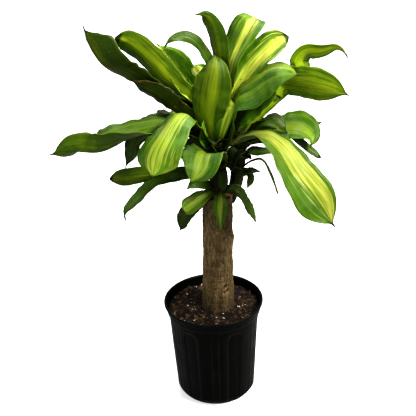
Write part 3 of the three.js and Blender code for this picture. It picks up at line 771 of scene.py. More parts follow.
def bark_tree():
    """Fine furrows, rings and flakes on the cane, pushed along its normals, and its finishes. The
    depth of each place is kept, so that the bark's finish can paint shade into the cracks and rings."""
    net, given, result = new_tree("bark_relief", "GeometryNodeTree", [
        ("Cane", SHAPE, None), ("Furrow Depth", FLOAT, 0.0005), ("Furrow Size", FLOAT, 150.0),
        ("Furrow Width", FLOAT, 0.045), ("Ring Depth", FLOAT, 0.0009), ("Ring Pitch", FLOAT, 520.0),
        ("Ring Wander", FLOAT, 0.022), ("Wander Size", FLOAT, 26.0), ("Flake Height", FLOAT, 0.0006),
        ("Flake Size", FLOAT, 170.0), ("Cut From", FLOAT, 0.45), ("Cut Facing", FLOAT, 0.8),
        ("Bark Finish", FINISH, None), ("Cut Finish", FINISH, None)], [("Cane", SHAPE, None)])
    place = net.add("GeometryNodeInputPosition")
    height = net.parts(place)[2]
    facing_up = net.parts(net.add("GeometryNodeInputNormal"))[2]
    upright = net.vector("MULTIPLY", place, (1.0, 1.0, 0.13))
    wavy = net.noise(upright, given["Furrow Size"], detail=3.0, roughness=0.6, distortion=0.6)
    groove = net.ramp(net.math("ABSOLUTE", net.centred(wavy)), given["Furrow Width"], 0.0)
    wander = net.times(net.noise(place, given["Wander Size"], detail=2.0), given["Ring Wander"])
    ring_wave = net.math("SINE", net.times(net.plus(height, wander), given["Ring Pitch"]))
    ring = net.ramp(ring_wave, 0.75, 1.0)
    less_upright = net.vector("MULTIPLY", place, (1.0, 1.0, 0.4))
    flakes = net.ramp(net.noise(less_upright, given["Flake Size"], detail=5.0), 0.48, 0.62)
    on_side = net.ramp(net.math("ABSOLUTE", facing_up), 0.8, 0.5)
    inward = net.plus(net.times(groove, given["Furrow Depth"]), net.times(ring, given["Ring Depth"]))
    push = net.minus(net.times(flakes, given["Flake Height"]), inward)
    kept = net.add("GeometryNodeStoreNamedAttribute", {
        "Geometry": given["Cane"], "Name": "groove",
        "Value": net.math("MAXIMUM", groove, net.times(ring, 0.6))}, data_type="FLOAT")
    offset = net.scaled(net.add("GeometryNodeInputNormal"), net.times(push, on_side))
    moved = net.add("GeometryNodeSetPosition", {"Geometry": kept, "Offset": offset})
    cut = net.times(net.math("GREATER_THAN", height, given["Cut From"]),
                    net.math("GREATER_THAN", facing_up, given["Cut Facing"]))
    net.feed(result.inputs["Cane"], net.finished(moved, given["Bark Finish"], given["Cut Finish"], cut))
    return net.tree


def make_cane():
    heights = np.linspace(CANE_FOOT, CANE_TOP - CANE_EDGE_BELOW_TOP, CANE_RINGS)
    crown = [(share, CANE_TOP - below) for share, below in CANE_CROWN]
    profile = [(0, CANE_FOOT), *[(1, z) for z in heights], *crown]
    share, angle, height, ends, faces = turned(profile, CANE_SIDES)
    along = (height - CANE_FOOT) / (CANE_TOP - CANE_FOOT)
    flare = FLARE * np.exp(-((height - SOIL_LEVEL) / FLARE_SPREAD) ** 2)
    radius = CANE_FOOT_RADIUS + (CANE_TOP_RADIUS - CANE_FOOT_RADIUS) * along + flare
    radius = (radius + bark_form(angle, height)) * share
    points = on_axis(radius, angle, height, ends)
    points[:, 0] += cane_centre(points[:, 2])
    cane = mesh_object("cane_stem", points, faces)
    store(cane.data, "pit", [*pit_share(angle, height), 0, 0])
    return shaped_by(bark_tree(), cane, cut_from=(CANE_TOP - CUT_FACE_DEPTH) * MM,
                     bark_finish=bark_finish(), cut_finish=cut_wood_finish())


# ---- The soil -----------------------------------------------------------------------------------

SOIL_MOUND = 4
SOIL_MOUND_FLAT_SHARE = 0.2
SOIL_LUMP = 1.6
SOIL_SIDES = 260
SOIL_RINGS = 90
SOIL_RIM_RADIUS = BAND_RADIUS - 5.4
# A shallow hollow left of the cane.
HOLLOW_X = -42
HOLLOW_Y = 12
HOLLOW_DEPTH = 7
HOLLOW_SPREAD_SQUARED = 300
# The soil's sides, up from its underside, clear of the pot's wall.
SOIL_SIDE = [(0, POT_FLOOR + 0.4), (BASE_RADIUS - 6, POT_FLOOR + 0.4),
             (BODY_FOOT_RADIUS - 6, FOOT_HEIGHT + 2), (BODY_TOP_RADIUS - 7, BAND_BOTTOM - 12),
             (BODY_TOP_RADIUS - 3.5, BAND_BOTTOM), (SOIL_RIM_RADIUS, SOIL_LEVEL - 2)]

# Each kind of crumb: how many on a square metre, smallest and largest size in metres, and its form.
CRUMB_KINDS = {
    "bark_chips": dict(crumbs_per_area=34000.0, smallest=0.0009, largest=0.0034, length=2.1, flatness=0.4,
                       roughness=0.6, sink=0.0006, seed=4),
    "peat_crumbs": dict(crumbs_per_area=60000.0, smallest=0.0006, largest=0.0018, length=1.2, flatness=0.8,
                        roughness=0.6, sink=0.0, seed=11),
    "perlite_grains": dict(crumbs_per_area=1800.0, smallest=0.0005, largest=0.0016, length=1.4, flatness=0.8,
                           roughness=0.8, sink=-0.0008, seed=23)}
# A crumb is squeezed or drawn out by up to this share each way. It leans by up to this angle, and is
# turned any way about the upright, both in radians.
CRUMB_SQUEEZE = 0.3
CRUMB_LEAN = 0.7
HALF_TURN = 3.14
# The crumbs' darkest and lightest shades, and the colour of their flecks.
CRUMB_SHADES = {
    "bark_chips": ("#0a0603", "#513a20", "#7c6040"),
    "peat_crumbs": ("#080402", "#22160c", "#3c2a1a"),
    "perlite_grains": ("#c9c4b6", "#f4f1e6", "#ffffff")}


def soil_height(x, y):
    """The top of the soil: a low mound about the cane, lumps, and a hollow."""
    from_cane = np.hypot(x - CANE_FOOT_X, y) / BODY_TOP_RADIUS
    mound = SOIL_MOUND * (1 - smooth_step(from_cane, SOIL_MOUND_FLAT_SHARE, 1))
    lumps = SOIL_LUMP * (np.sin(x / 9 + 1) * np.cos(y / 11) + 0.6 * np.sin(x / 5 - y / 6))
    from_hollow = (x - HOLLOW_X) ** 2 + (y - HOLLOW_Y) ** 2
    hollow = HOLLOW_DEPTH * np.exp(-from_hollow / HOLLOW_SPREAD_SQUARED)
    return SOIL_LEVEL + mound + lumps - hollow


def crumble_tree():
    """Loosens the soil's top with small lumps."""
    net, given, result = new_tree("crumble", "GeometryNodeTree", [
        ("Soil", SHAPE, None), ("Lump Height", FLOAT, 0.004), ("Lump Size", FLOAT, 120.0),
        ("Finish", FINISH, None)], [("Soil", SHAPE, None)])
    place = net.add("GeometryNodeInputPosition")
    up = net.ramp(net.parts(net.add("GeometryNodeInputNormal"))[2], 0.6, 0.9)
    lumps = net.minus(net.noise(place, given["Lump Size"], detail=4.0, roughness=0.65), 0.55)
    rise = net.times(lumps, given["Lump Height"], up)
    moved = net.add("GeometryNodeSetPosition", {
        "Geometry": given["Soil"], "Offset": net.join(0.0, 0.0, rise)})
    net.feed(result.inputs["Soil"], net.finished(moved, given["Finish"]))
    return net.tree


def make_soil():
    top_rings = [(SOIL_RIM_RADIUS * share, SOIL_LEVEL) for share in np.linspace(0.995, 0.02, SOIL_RINGS)]
    profile = [*SOIL_SIDE, *top_rings, (0, SOIL_LEVEL)]
    radius, angle, height, ends, faces = turned(profile, SOIL_SIDES)
    points = on_axis(radius, angle, height, ends)
    top = points[:, 2] > SOIL_LEVEL - 0.5
    points[top, 2] = soil_height(points[top, 0], points[top, 1])
    return shaped_by(crumble_tree(), mesh_object("soil_bed", points, faces), finish=soil_finish())


def scatter_tree():
    """Strews crumbs over the upward faces of a bed: each has its own size, form and turn."""
    net, given, result = new_tree("strewn_crumbs", "GeometryNodeTree", [
        ("Bed", SHAPE, None), ("Above", FLOAT, 0.17), ("Crumbs Per Area", FLOAT, 30000.0),
        ("Smallest", FLOAT, 0.001), ("Largest", FLOAT, 0.004), ("Length", FLOAT, 1.6),
        ("Flatness", FLOAT, 0.5), ("Roughness", FLOAT, 0.35), ("Sink", FLOAT, 0.0), ("Seed", WHOLE, 1),
        ("Finish", FINISH, None)], [("Crumbs", SHAPE, None)])
    up = net.parts(net.add("GeometryNodeInputNormal"))[2]
    height = net.parts(net.add("GeometryNodeInputPosition"))[2]
    on_top = net.math("GREATER_THAN", net.times(up, height), given["Above"])
    spots = net.add("GeometryNodeDistributePointsOnFaces", {
        "Mesh": given["Bed"], "Selection": on_top, "Density": given["Crumbs Per Area"],
        "Seed": given["Seed"]}, output="Points")

    ball = net.add("GeometryNodeMeshIcoSphere", (1.0, 2))
    ball_place = net.add("GeometryNodeInputPosition")
    lumps = net.times(net.centred(net.noise(ball_place, 1.3, detail=2.0)), 2.4, given["Roughness"])
    lumpy = net.add("GeometryNodeSetPosition", {"Geometry": ball, "Offset": net.scaled(ball_place, lumps)})
    form = net.join(given["Length"], 1.0, given["Flatness"])
    crumb = net.add("GeometryNodeSetPosition", {
        "Geometry": lumpy, "Position": net.vector("MULTIPLY", net.add("GeometryNodeInputPosition"), form)})

    def random_value(low, high, seed, kind="FLOAT_VECTOR"):
        """A random value for each crumb. Vectors have the first sockets, single numbers the next."""
        first = 0 if kind == "FLOAT_VECTOR" else 2
        return net.add("FunctionNodeRandomValue", {first: low, first + 1: high, "Seed": seed},
                       output=first // 2, data_type=kind)

    size = random_value(given["Smallest"], given["Largest"], given["Seed"], "FLOAT")
    squeeze = random_value([1 - CRUMB_SQUEEZE] * 3, [1 + CRUMB_SQUEEZE] * 3, net.plus(given["Seed"], 7.0))
    furthest = (CRUMB_LEAN, CRUMB_LEAN, HALF_TURN)
    lean = random_value([-turn for turn in furthest], furthest, net.plus(given["Seed"], 3.0))
    sunk = net.add("GeometryNodeSetPosition", {
        "Geometry": spots, "Offset": net.join(0.0, 0.0, net.times(given["Sink"], -1.0))})
    strewn = net.add("GeometryNodeInstanceOnPoints", {
        "Points": sunk, "Instance": crumb, "Rotation": net.add("FunctionNodeEulerToRotation", (lean,)),
        "Scale": net.scaled(squeeze, size)})
    net.feed(result.inputs["Crumbs"], net.finished(strewn, given["Finish"]))
    return net.tree


def make_crumbs(bed):
    """Bark chips, peat crumbs and perlite grains, each kind strewn over its own copy of the bed."""
    tree = scatter_tree()
    pieces = []
    for name, form in CRUMB_KINDS.items():
        crumbs = bpy.data.objects.new(name, bed.data.copy())
        bpy.context.scene.collection.objects.link(crumbs)
        crumbs.data.materials.clear()
        pieces.append(shaped_by(tree, crumbs, **form, finish=crumb_finish(name, *CRUMB_SHADES[name])))
    return pieces


# ---- Stems --------------------------------------------------------------------------------------

# A stem's rows hold a place on its middle line and its radius there.
MAIN_STEM = [(11, -8, 440, 15), (14, -10, 480, 14), (18, -8, 530, 14), (22, -4, 580, 13), (26, 0, 630, 8)]
SIDE_STEM = [(40, 6, 436, 11), (52, 8, 470, 13), (58, 8, 510, 13), (62, 10, 550, 12), (66, 14, 590, 7)]
STEM_SIDES = 72
STEM_RINGS = 200
# How soon a stem rounds off towards its top, and the least that it keeps there.
STEM_END_RISE = 14
STEM_END_LEAST = 0.0004
# The scars of fallen leaves. Their width is a share of the space from one to the next, and the stem
# widens a step between them.
SCAR_SPACING = 7.5
SCAR_DEPTH = 0.7
SCAR_HALF_WIDTH = 0.09
SCAR_TILT = 1.2
STEM_STEP = 0.5
# The stem isn't quite round: how much it bulges, how many times round it, and where that starts.
STEM_WOBBLES = [(0.02, 5, 0), (0.012, 9, 1)]


def smooth_path(values, shares):
    """A Catmull-Rom curve through rows of numbers, read at shares of its run."""
    values = np.asarray(values, float)
    last = len(values) - 1
    padded = np.vstack([2 * values[0] - values[1], values, 2 * values[-1] - values[-2]])
    place = np.clip(shares, 0, 1) * last
    k = np.minimum(place.astype(int), last - 1)
    x = (place - k)[:, None]
    before, start, end, after = padded[k], padded[k + 1], padded[k + 2], padded[k + 3]
    leave, arrive = (end - before) / 2, (after - start) / 2
    return (start + leave * x + (-3 * start + 3 * end - 2 * leave - arrive) * x ** 2
            + (2 * start - 2 * end + leave + arrive) * x ** 3)


def make_stem(name, path, finish):
    """A shoot's stem: ringed by the scars of fallen leaves, and rounded at its top."""
    shares = np.linspace(0, 1, STEM_RINGS)
    rows = smooth_path(path, shares)
    rounding = np.minimum(1, np.sqrt(np.clip((1 - shares) * STEM_END_RISE, STEM_END_LEAST, 1)))
    climb = rows[:, 2] / SCAR_SPACING
    from_scar = climb - np.floor(climb) - 0.5
    scar = np.exp(-(from_scar / SCAR_HALF_WIDTH) ** 2)
    radius = (rows[:, 3] + STEM_STEP * from_scar - SCAR_DEPTH * scar) * rounding
    angles = np.linspace(0, 2 * math.pi, STEM_SIDES, endpoint=False)
    ring = np.stack([np.cos(angles), np.sin(angles), 0 * angles], 1)
    wobble = 1 + sum(share * np.sin(lobes * angles + start) for share, lobes, start in STEM_WOBBLES)
    points = rows[:, None, :3] + ring[None] * (radius[:, None] * wobble[None, :])[:, :, None]
    points[:, :, 2] += SCAR_TILT * np.sin(angles * 2 + 0.3)[None, :]
    count = STEM_RINGS * STEM_SIDES
    foot, top = tuple(reversed(range(STEM_SIDES))), tuple(range(count - STEM_SIDES, count))
    stem = mesh_object(name, points.reshape(-1, 3), [*ring_faces(STEM_RINGS, STEM_SIDES), foot, top])
    store(stem.data, "along", np.repeat(shares, STEM_SIDES))
    store(stem.data, "groove", np.repeat(scar, STEM_SIDES))
    stem.data.materials.append(finish)
    return stem


# ---- Leaves -------------------------------------------------------------------------------------

# A leaf's path holds points (x, y, z, roll): a place on the midrib, from the stem to the tip, and how
# far the blade is turned there about its own length, in degrees. A fifth number sets how steeply the
# two halves rise from the midrib there, and fold does so for the whole leaf. widest is how far along
# the blade is widest, and a high tip keeps it wide for longer: from BLUNT_TIP on it ends bluntly.
# stripe is the middle stripe: where its centre lies across the blade, from -1 to 1, its half width,
# and how strong it is. The next two numbers are painted light and shade: how much the colour of the
# upper side and of the underside is lifted or darkened, for how light falls on the leaf. burn is how
# much brown the edges and the tip have.

def leaf(path, width, fold=20, tip=2.6, widest=0.64, stripe=(0, 0.32, 0.7), painted_light=(1, 1), burn=0.2):
    return dict(path=path, width=width, fold=fold, tip=tip, widest=widest, stripe=stripe,
                painted_light=painted_light, burn=burn)


MAIN_LEAVES = [
    # Far left, top
    leaf([(22, 2, 584, 24, 14), (-74, 10, 655, 26, 16), (-147, -16, 706, 26, 24),
          (-178, -60, 744, 20, 46), (-199, -65, 785, 14, 60), (-206, -66, 820, 40, 30)],
         width=92, tip=4.8, widest=0.8, stripe=(0.1, 0.3, 0.3), painted_light=(1, 0.45), burn=0.2),
    # Left, blunt, underside seen
    leaf([(25, 0, 600, 49), (-15, -8, 640, 49), (-73, -14, 700, 52), (-110, -20, 747, 58),
          (-135, -28, 773, 66), (-156, -30, 784, 84)],
         width=62, fold=22, tip=6, stripe=(0.1, 0.4, 0.55), painted_light=(1, 1.3), burn=0.2),
    # Left, lime stripe
    leaf([(25, 0, 605, -30), (-8, 5, 648, -36), (-32, 10, 678, -40), (-54, 12, 715, -38),
          (-70, 15, 738, -34), (-86, 20, 756, -30)],
         width=62, fold=18, stripe=(0.35, 0.5, 0.8), painted_light=(2.3, 1), burn=0.1),
    # Thin arch
    leaf([(30, 5, 625, -45), (12, 0, 708, -44), (-2, -5, 742, -40), (-18, -10, 765, -35),
          (-40, -15, 775, -30), (-60, -20, 771, -28), (-71, -20, 757, -25)],
         width=32, fold=18, stripe=(0, 0.2, 0.25), painted_light=(0.5, 0.5), burn=0.8),
    # Hooked, topmost
    leaf([(30, 5, 620, 47), (28, 12, 700, 50), (20, 15, 765, 58), (12, 15, 795, 80), (2, 12, 808, 95),
          (-14, 10, 808, 110)],
         width=46, fold=24, stripe=(0, 0.3, 0.2), painted_light=(0.8, 0.85), burn=0.2),
    # Striped, top
    leaf([(25, -10, 555, -19), (36, 0, 640, -19), (50, 10, 712, -14), (65, 20, 745, -6),
          (78, 26, 769, 4), (89, 36, 784, 15), (97, 56, 786, 25)],
         width=72, fold=14, tip=7, stripe=(0.05, 0.24, 0.95), painted_light=(1.35, 1), burn=0),
    # Upright front, underside seen
    leaf([(11, -17, 553, 190), (1, -32, 620, 186), (8, -38, 680, 178), (16, -28, 720, 175),
          (20, 5, 738, 175)],
         width=76, fold=16, tip=2.4, stripe=(0, 0.42, 0.42), painted_light=(1, 1.05), burn=0.1),
    # Small tip behind
    leaf([(30, 10, 620, -9), (10, 15, 665, -9), (-10, 20, 695, -17), (-25, 25, 710, -40)],
         width=50, tip=4, stripe=(0, 0.6, 1), painted_light=(1.4, 1.2), burn=0.1),
    # Dark, behind the top
    leaf([(30, 6, 612, -69), (70, 25, 690, -69), (95, 35, 730, -88), (110, 40, 755, -88)],
         width=54, tip=2.8, stripe=(0, 0.2, 0.2), painted_light=(0.6, 0.6), burn=0.2),
    # Right, wide stripe
    leaf([(30, 0, 595, 36), (53, 0, 655, 36), (82, 5, 700, 39), (107, 0, 730, 37), (130, -5, 753, 40),
          (154, -5, 766, 50)],
         width=66, fold=22, tip=5, stripe=(0.02, 0.46, 1), painted_light=(1.75, 1), burn=0.65),
    # Right, folded over
    leaf([(28, -14, 552, 40, 10), (43, -24, 606, 30, 0), (53, -30, 662, 22, -10),
          (82, -40, 690, 34, -24), (112, -50, 714, 36, -26), (139, -56, 720, 34, -20),
          (172, -58, 708, 32, -10)],
         width=84, tip=3, stripe=(0.45, 0.35, 0.6), painted_light=(0.92, 0.9), burn=0.1),
    # Right, under the folded one
    leaf([(26, -6, 566, 36), (49, -18, 603, 36), (71, -26, 633, 38), (95, -32, 659, 40),
          (117, -34, 678, 44), (135, -36, 692, 44)],
         width=68, fold=6, tip=4, stripe=(0.3, 0.25, 0.35), painted_light=(1, 0.9), burn=0.1),
    # Small, in the middle
    leaf([(14, -12, 553, -50), (0, -25, 585, -50), (0, -25, 605, -41), (5, -10, 605, -41)],
         width=40, tip=3, stripe=(0, 0.3, 0.5), painted_light=(1.3, 1.2), burn=0.1),
    # Short, front
    leaf([(20, -8, 505, -10), (8, -44, 552, -8), (-6, -85, 578, -4), (-16, -115, 564, -12),
          (-36, -128, 538, -34)],
         width=78, fold=14, tip=3.2, stripe=(0, 0.35, 0.6), painted_light=(0.86, 0.9), burn=0.4),
    # Large, left front
    leaf([(15, -15, 555, -10), (-10, -26, 600, -6), (-33, -48, 640, 0), (-50, -76, 650, 4),
          (-74, -112, 626, 0), (-92, -128, 596, -12), (-101, -138, 552, -36)],
         width=88, fold=-18, tip=3, widest=0.85, stripe=(0, 0.42, 0.72), painted_light=(1.2, 0.95), burn=0.5),
    # Long, right front
    leaf([(25, -15, 555, 10), (60, -50, 582, 4), (97, -80, 604, -6), (126, -108, 592, 2),
          (153, -126, 549, 16), (188, -142, 505, 38), (226, -152, 450, 50)],
         width=84, fold=16, tip=2.2, widest=0.78, stripe=(0.42, 0.42, 0.95), painted_light=(0.78, 0.9), burn=0.2),
    # Long, far left
    leaf([(14, -7, 566, 0, 15), (-62, -30, 602, -4, 22), (-131, -42, 600, 0, 34),
          (-195, -44, 573, 20, 54), (-248, -42, 574, 56, 34), (-298, -38, 568, 85, 8)],
         width=90, tip=3, widest=0.7, stripe=(-0.6, 0.22, 0.35), painted_light=(0.8, 1.15), burn=0.2),
    # Dark, drooping left
    leaf([(16, 0, 565, -17), (-65, 10, 582, -17), (-125, 15, 572, -24), (-145, 5, 545, -47),
          (-160, 0, 517, -47)],
         width=50, stripe=(0, 0.1, 0.1), painted_light=(0.3, 0.35), burn=0.2),
    # Dark, under the top left
    leaf([(15, -5, 585, 49), (-35, -15, 620, 49), (-80, -20, 660, 47), (-110, -25, 685, 57),
          (-135, -25, 705, 57)],
         width=56, fold=24, stripe=(0, 0.2, 0.2), painted_light=(0.27, 0.26), burn=0.9),
    # Behind, left
    leaf([(15, 0, 575, -13), (-55, 15, 595, -13), (-100, 15, 603, -13), (-135, 10, 602, -13)],
         width=48, stripe=(0, 0.2, 0.3), painted_light=(0.5, 0.45), burn=0.2),
    # Low left, olive
    leaf([(10, -10, 515, 70), (-50, -30, 515, 70), (-105, -50, 523, 70), (-150, -55, 522, 85),
          (-186, -55, 521, 85)],
         width=40, fold=16, tip=6, stripe=(0, 0.3, 0.3), painted_light=(0.75, 0.8), burn=0.6),
    # Low left, narrow
    leaf([(5, -15, 510, -18), (-50, -40, 512, -18), (-98, -55, 510, -6), (-130, -65, 482, -2),
          (-158, -70, 460, 1), (-160, -70, 434, 1)],
         width=42, fold=18, stripe=(0, 0.2, 0.15), painted_light=(0.65, 0.65), burn=0.3),
    # Small, under the front one
    leaf([(10, -15, 478, -60), (-8, -40, 496, -60), (-26, -60, 508, -60), (-42, -72, 502, -60)],
         width=26, stripe=(0, 0.2, 0.2), painted_light=(0.35, 0.35), burn=0.3),
    # Low right, burnt edge
    leaf([(25, -20, 470, 42), (45, -30, 478, 42), (58, -35, 468, 15), (72, -35, 438, 4),
          (90, -35, 405, 4)],
         width=36, stripe=(0, 0.25, 0.2), painted_light=(0.45, 0.45), burn=0.8),
    # Over the cane
    leaf([(20, -20, 470, 0), (20, -40, 465, 0), (20, -45, 435, 30), (20, -40, 392, 30)],
         width=32, fold=12, tip=1.3, widest=0.42, stripe=(0, 0.25, 0.7), painted_light=(0.85, 0.8), burn=0.5),
    # Low left, striped
    leaf([(10, -20, 470, -27), (-5, -35, 470, -27), (-30, -50, 460, -25), (-52, -55, 448, -40)],
         width=38, tip=5, stripe=(0, 0.3, 0.75), painted_light=(0.9, 0.8), burn=0.8),
    # Low left, dark
    leaf([(5, -15, 460, -25), (-18, -30, 450, -25), (-42, -40, 435, -19), (-60, -40, 398, -19)],
         width=40, stripe=(0, 0.2, 0.2), painted_light=(0.25, 0.25), burn=0.3),
    # Small, dark, beside the stem
    leaf([(20, -10, 500, 0), (26, -24, 516, 0), (27, -30, 500, 10), (26, -32, 474, 10)],
         width=20, stripe=(0, 0.1, 0.1), painted_light=(0.25, 0.25), burn=0.3),
    # Striped base in the middle
    leaf([(18, -14, 553, 112), (26, -30, 599, 110), (36, -35, 634, 108), (46, -37, 661, 106)],
         width=30, fold=8, tip=5, widest=0.8, stripe=(-0.3, 0.5, 0.8), painted_light=(1.7, 1.7), burn=0),
    # Dark base, left of the stem
    leaf([(18, -6, 535, 60), (0, -10, 556, 60), (-22, -14, 566, 66), (-50, -18, 566, 72)],
         width=46, fold=14, widest=0.5, stripe=(0, 0.2, 0.2), painted_light=(0.3, 0.3), burn=0.3),
]

SIDE_LEAVES = [
    # Far right, bent
    leaf([(62, 10, 552, -50), (105, 15, 614, -56), (173, 20, 690, -60), (177, 20, 711, -60),
          (189, 16, 727, -64), (216, 8, 732, -72), (238, 0, 741, -72), (252, -4, 736, -64),
          (263, -6, 718, -60)],
         width=46, fold=6, tip=1.6, widest=0.6, stripe=(0, 0.6, 0.5), painted_light=(1.35, 2.2), burn=0.3),
    # Far right, broad
    leaf([(64, 12, 575, -50), (106, 16, 630, -60), (141, 12, 672, -68), (174, 4, 673, -72),
          (212, -5, 669, -76), (244, -12, 662, -80), (266, -20, 653, -80)],
         width=74, fold=8, tip=3.2, stripe=(0, 0.45, 0.5), painted_light=(1, 1.75), burn=0.2),
    # Right, drooping
    leaf([(66, 8, 552, 16), (108, 0, 581, 22), (137, -8, 591, 24), (166, -18, 596, 24),
          (186, -32, 591, 26), (194, -44, 581, 30), (189, -54, 568, 36)],
         width=74, fold=8, tip=2.4, stripe=(-0.1, 0.45, 0.5), painted_light=(1, 1), burn=0.2),
    # Right, crumpled
    leaf([(68, 10, 558, 14), (129, 6, 590, 16), (168, 0, 599, 24), (202, -4, 595, 34),
          (218, -6, 599, 46)],
         width=62, fold=-16, tip=3, stripe=(0, 0.4, 0.4), painted_light=(1.1, 1.1), burn=0.3),
    # Small, olive
    leaf([(65, 12, 568, -40), (82, 14, 599, -40), (100, 16, 619, -44), (121, 18, 632, -50),
          (142, 20, 642, -60)],
         width=40, tip=5, stripe=(0, 0.3, 0.3), painted_light=(0.8, 0.8), burn=0.2),
    # Dark, short
    leaf([(66, 5, 566, -10), (101, -18, 607, -6), (127, -26, 613, 10), (150, -32, 588, 30)],
         width=34, tip=2.2, stripe=(0, 0.2, 0.2), painted_light=(0.3, 0.25), burn=0.2),
    # Narrow, brown edge
    leaf([(60, 0, 522, 28), (80, -10, 546, 28), (100, -30, 552, 15), (125, -45, 557, 11)],
         width=26, fold=12, stripe=(0, 0.2, 0.2), painted_light=(0.5, 0.5), burn=1),
    # Dry curl
    leaf([(62, 5, 505, 53), (82, -5, 524, 53), (103, -10, 528, 21), (118, -15, 503, 22),
          (133, -15, 455, 22)],
         width=7, fold=10, stripe=(0, 0.1, 0.1), painted_light=(0.3, 0.3), burn=1),
    # Small, dark
    leaf([(60, 5, 490, -120), (76, 0, 497, -120), (81, -5, 488, -109), (74, -10, 470, -109)],
         width=15, fold=10, stripe=(0, 0.1, 0.1), painted_light=(0.25, 0.25), burn=0.5),
    # Narrow, blunt, under the drooping one
    leaf([(62, 8, 548, 20), (100, 4, 590, 20), (143, 0, 587, 15), (179, -25, 562, 15),
          (213, -35, 537, 20)],
         width=24, fold=12, tip=6, stripe=(0, 0.2, 0.3), painted_light=(0.55, 0.5), burn=0.2),
    # Small, dark, between the stems
    leaf([(60, 2, 540, 0), (54, -18, 552, 0), (46, -26, 540, 10), (42, -30, 516, 16)],
         width=28, stripe=(0, 0.1, 0.1), painted_light=(0.18, 0.18), burn=0.3),
]

# The leaves on the far side: azimuth in degrees, reach, rise, sag, width, height of the base.
MAIN_BACK_LEAVES = [
    (70, 120, 190, 60, 66, 600), (105, 150, 165, 90, 70, 590), (140, 170, 170, 90, 66, 580),
    (50, 150, 190, 100, 64, 585), (90, 210, 150, 150, 72, 560), (122, 230, 130, 140, 70, 550),
    (155, 220, 100, 110, 60, 560)]
SIDE_BACK_LEAVES = [
    (75, 170, 160, 90, 62, 560), (50, 150, 130, 60, 60, 555), (105, 190, 120, 130, 64, 530)]
BACK_LEAF_SHARES = (0, 0.35, 0.65, 0.85, 1)

# Short leaf bases that clasp the stems, made dark with painted shade: how many on each, from which height
# down to which.
MAIN_SHEATHS = (15, 582, 500)
SIDE_SHEATHS = (10, 552, 478)
SHEATH_FIRST_TURN = 205
SHEATH_TURN = 137.5
SHEATH_SHARES = (0, 0.4, 0.75, 1)
# Every other one is shorter and steeper.
SHEATH_REACH = (40, 48)
SHEATH_RISE = (34, 16)
SHEATH_WIDTH = 36

BLADE_THICKNESS = 0.9
# A blade starts with this share of its width. Its fold is this many times the leaf's own at the base,
# and so much less at the tip.
LEAF_BASE_SHARE = 0.44
FOLD_AT_BASE = 1.25
FOLD_LOSS = 0.5
# A path is measured at many points, and its guide line has evenly spaced ones. The line's direction is
# read a small step to either side of each.
TRAIL_POINTS = 601
GUIDE_POINTS = 121
GUIDE_STEP = 1e-3
# A pointed tip ends in a thin needle: its share of the length, its half width, and the share of that
# which is left at its very end.
NEEDLE_SHARE = 0.035
NEEDLE_HALF_WIDTH = 2
NEEDLE_END_SHARE = 0.12
BLUNT_TIP = 5
# A leaf this wide has its waves as high as the tree's inputs say. Its length shifts them, and they
# are out of step at its two edges.
WAVE_WIDTH = 70
WAVE_SHIFT = 0.01
OTHER_EDGE_SHIFT = 1.7
# The two sides of a blade are joined where their points lie this close (metres).
WELD_DISTANCE = 1e-6


def outward(base, azimuth, reach, climb, shares):
    """A leaf's path straight out from its base, with the climb worked out for each share of it."""
    east, north = math.cos(math.radians(azimuth)), math.sin(math.radians(azimuth))
    return [(base[0] + east * reach * share, base[1] + north * reach * share, base[2] + climb(share), 0)
            for share in shares]


def back_leaf(row, stem):
    """A leaf on the far side. It starts over the last row but one of its stem."""
    azimuth, reach, rise, sag, width, base_height = row
    base = (*stem[-2][:2], base_height)
    path = outward(base, azimuth, reach, lambda share: rise * share - sag * share * share, BACK_LEAF_SHARES)
    return leaf(path, width, fold=26, painted_light=(0.9, 0.85))


def sheath(stem, height, number):
    """One leaf base. Its number counts down from the top one."""
    reach, rise = SHEATH_REACH[number % 2], SHEATH_RISE[number % 2]
    heights = [row[2] for row in stem]
    base = (*[np.interp(height, heights, [row[axis] for row in stem]) for axis in (0, 1)], height)
    azimuth = SHEATH_FIRST_TURN + SHEATH_TURN * number
    path = outward(base, azimuth, reach, lambda share: rise * share * (2 - share), SHEATH_SHARES)
    # The leaf base's low brightness is painted shade, for the shadow deep in the crown.
    return leaf(path, SHEATH_WIDTH, fold=30, widest=0.35, stripe=(0, 0.2, 0.15), painted_light=(0.3, 0.24), burn=0.7)


def sheaths(stem, rule):
    """The leaf bases round a stem, each turned on from the one above it."""
    count, highest, lowest = rule
    heights = np.linspace(highest, lowest, count)
    return [sheath(stem, height, number) for number, height in enumerate(heights)]


def half_widths(row, shares):
    """Half the blade's width along its length, with a thin dry needle at a pointed tip."""
    pointed = row["tip"] < BLUNT_TIP
    blade_end = 1 - NEEDLE_SHARE if pointed else 1
    s = np.clip(shares / blade_end, 0, 1)
    widest = row["widest"]
    swell = 0.5 * (1 - np.cos(math.pi * np.minimum(s / widest, 1)))
    rise = LEAF_BASE_SHARE + (1 - LEAF_BASE_SHARE) * swell
    fall = 1 - np.clip((s - widest) / (1 - widest), 0, 1) ** row["tip"]
    half = row["width"] / 2 * np.where(s < widest, rise, fall)
    needle = NEEDLE_HALF_WIDTH * np.clip((1 - shares) / NEEDLE_SHARE, NEEDLE_END_SHARE, 1)
    return np.maximum(half, needle)


def unit(rows):
    return rows / np.linalg.norm(rows, axis=1, keepdims=True)


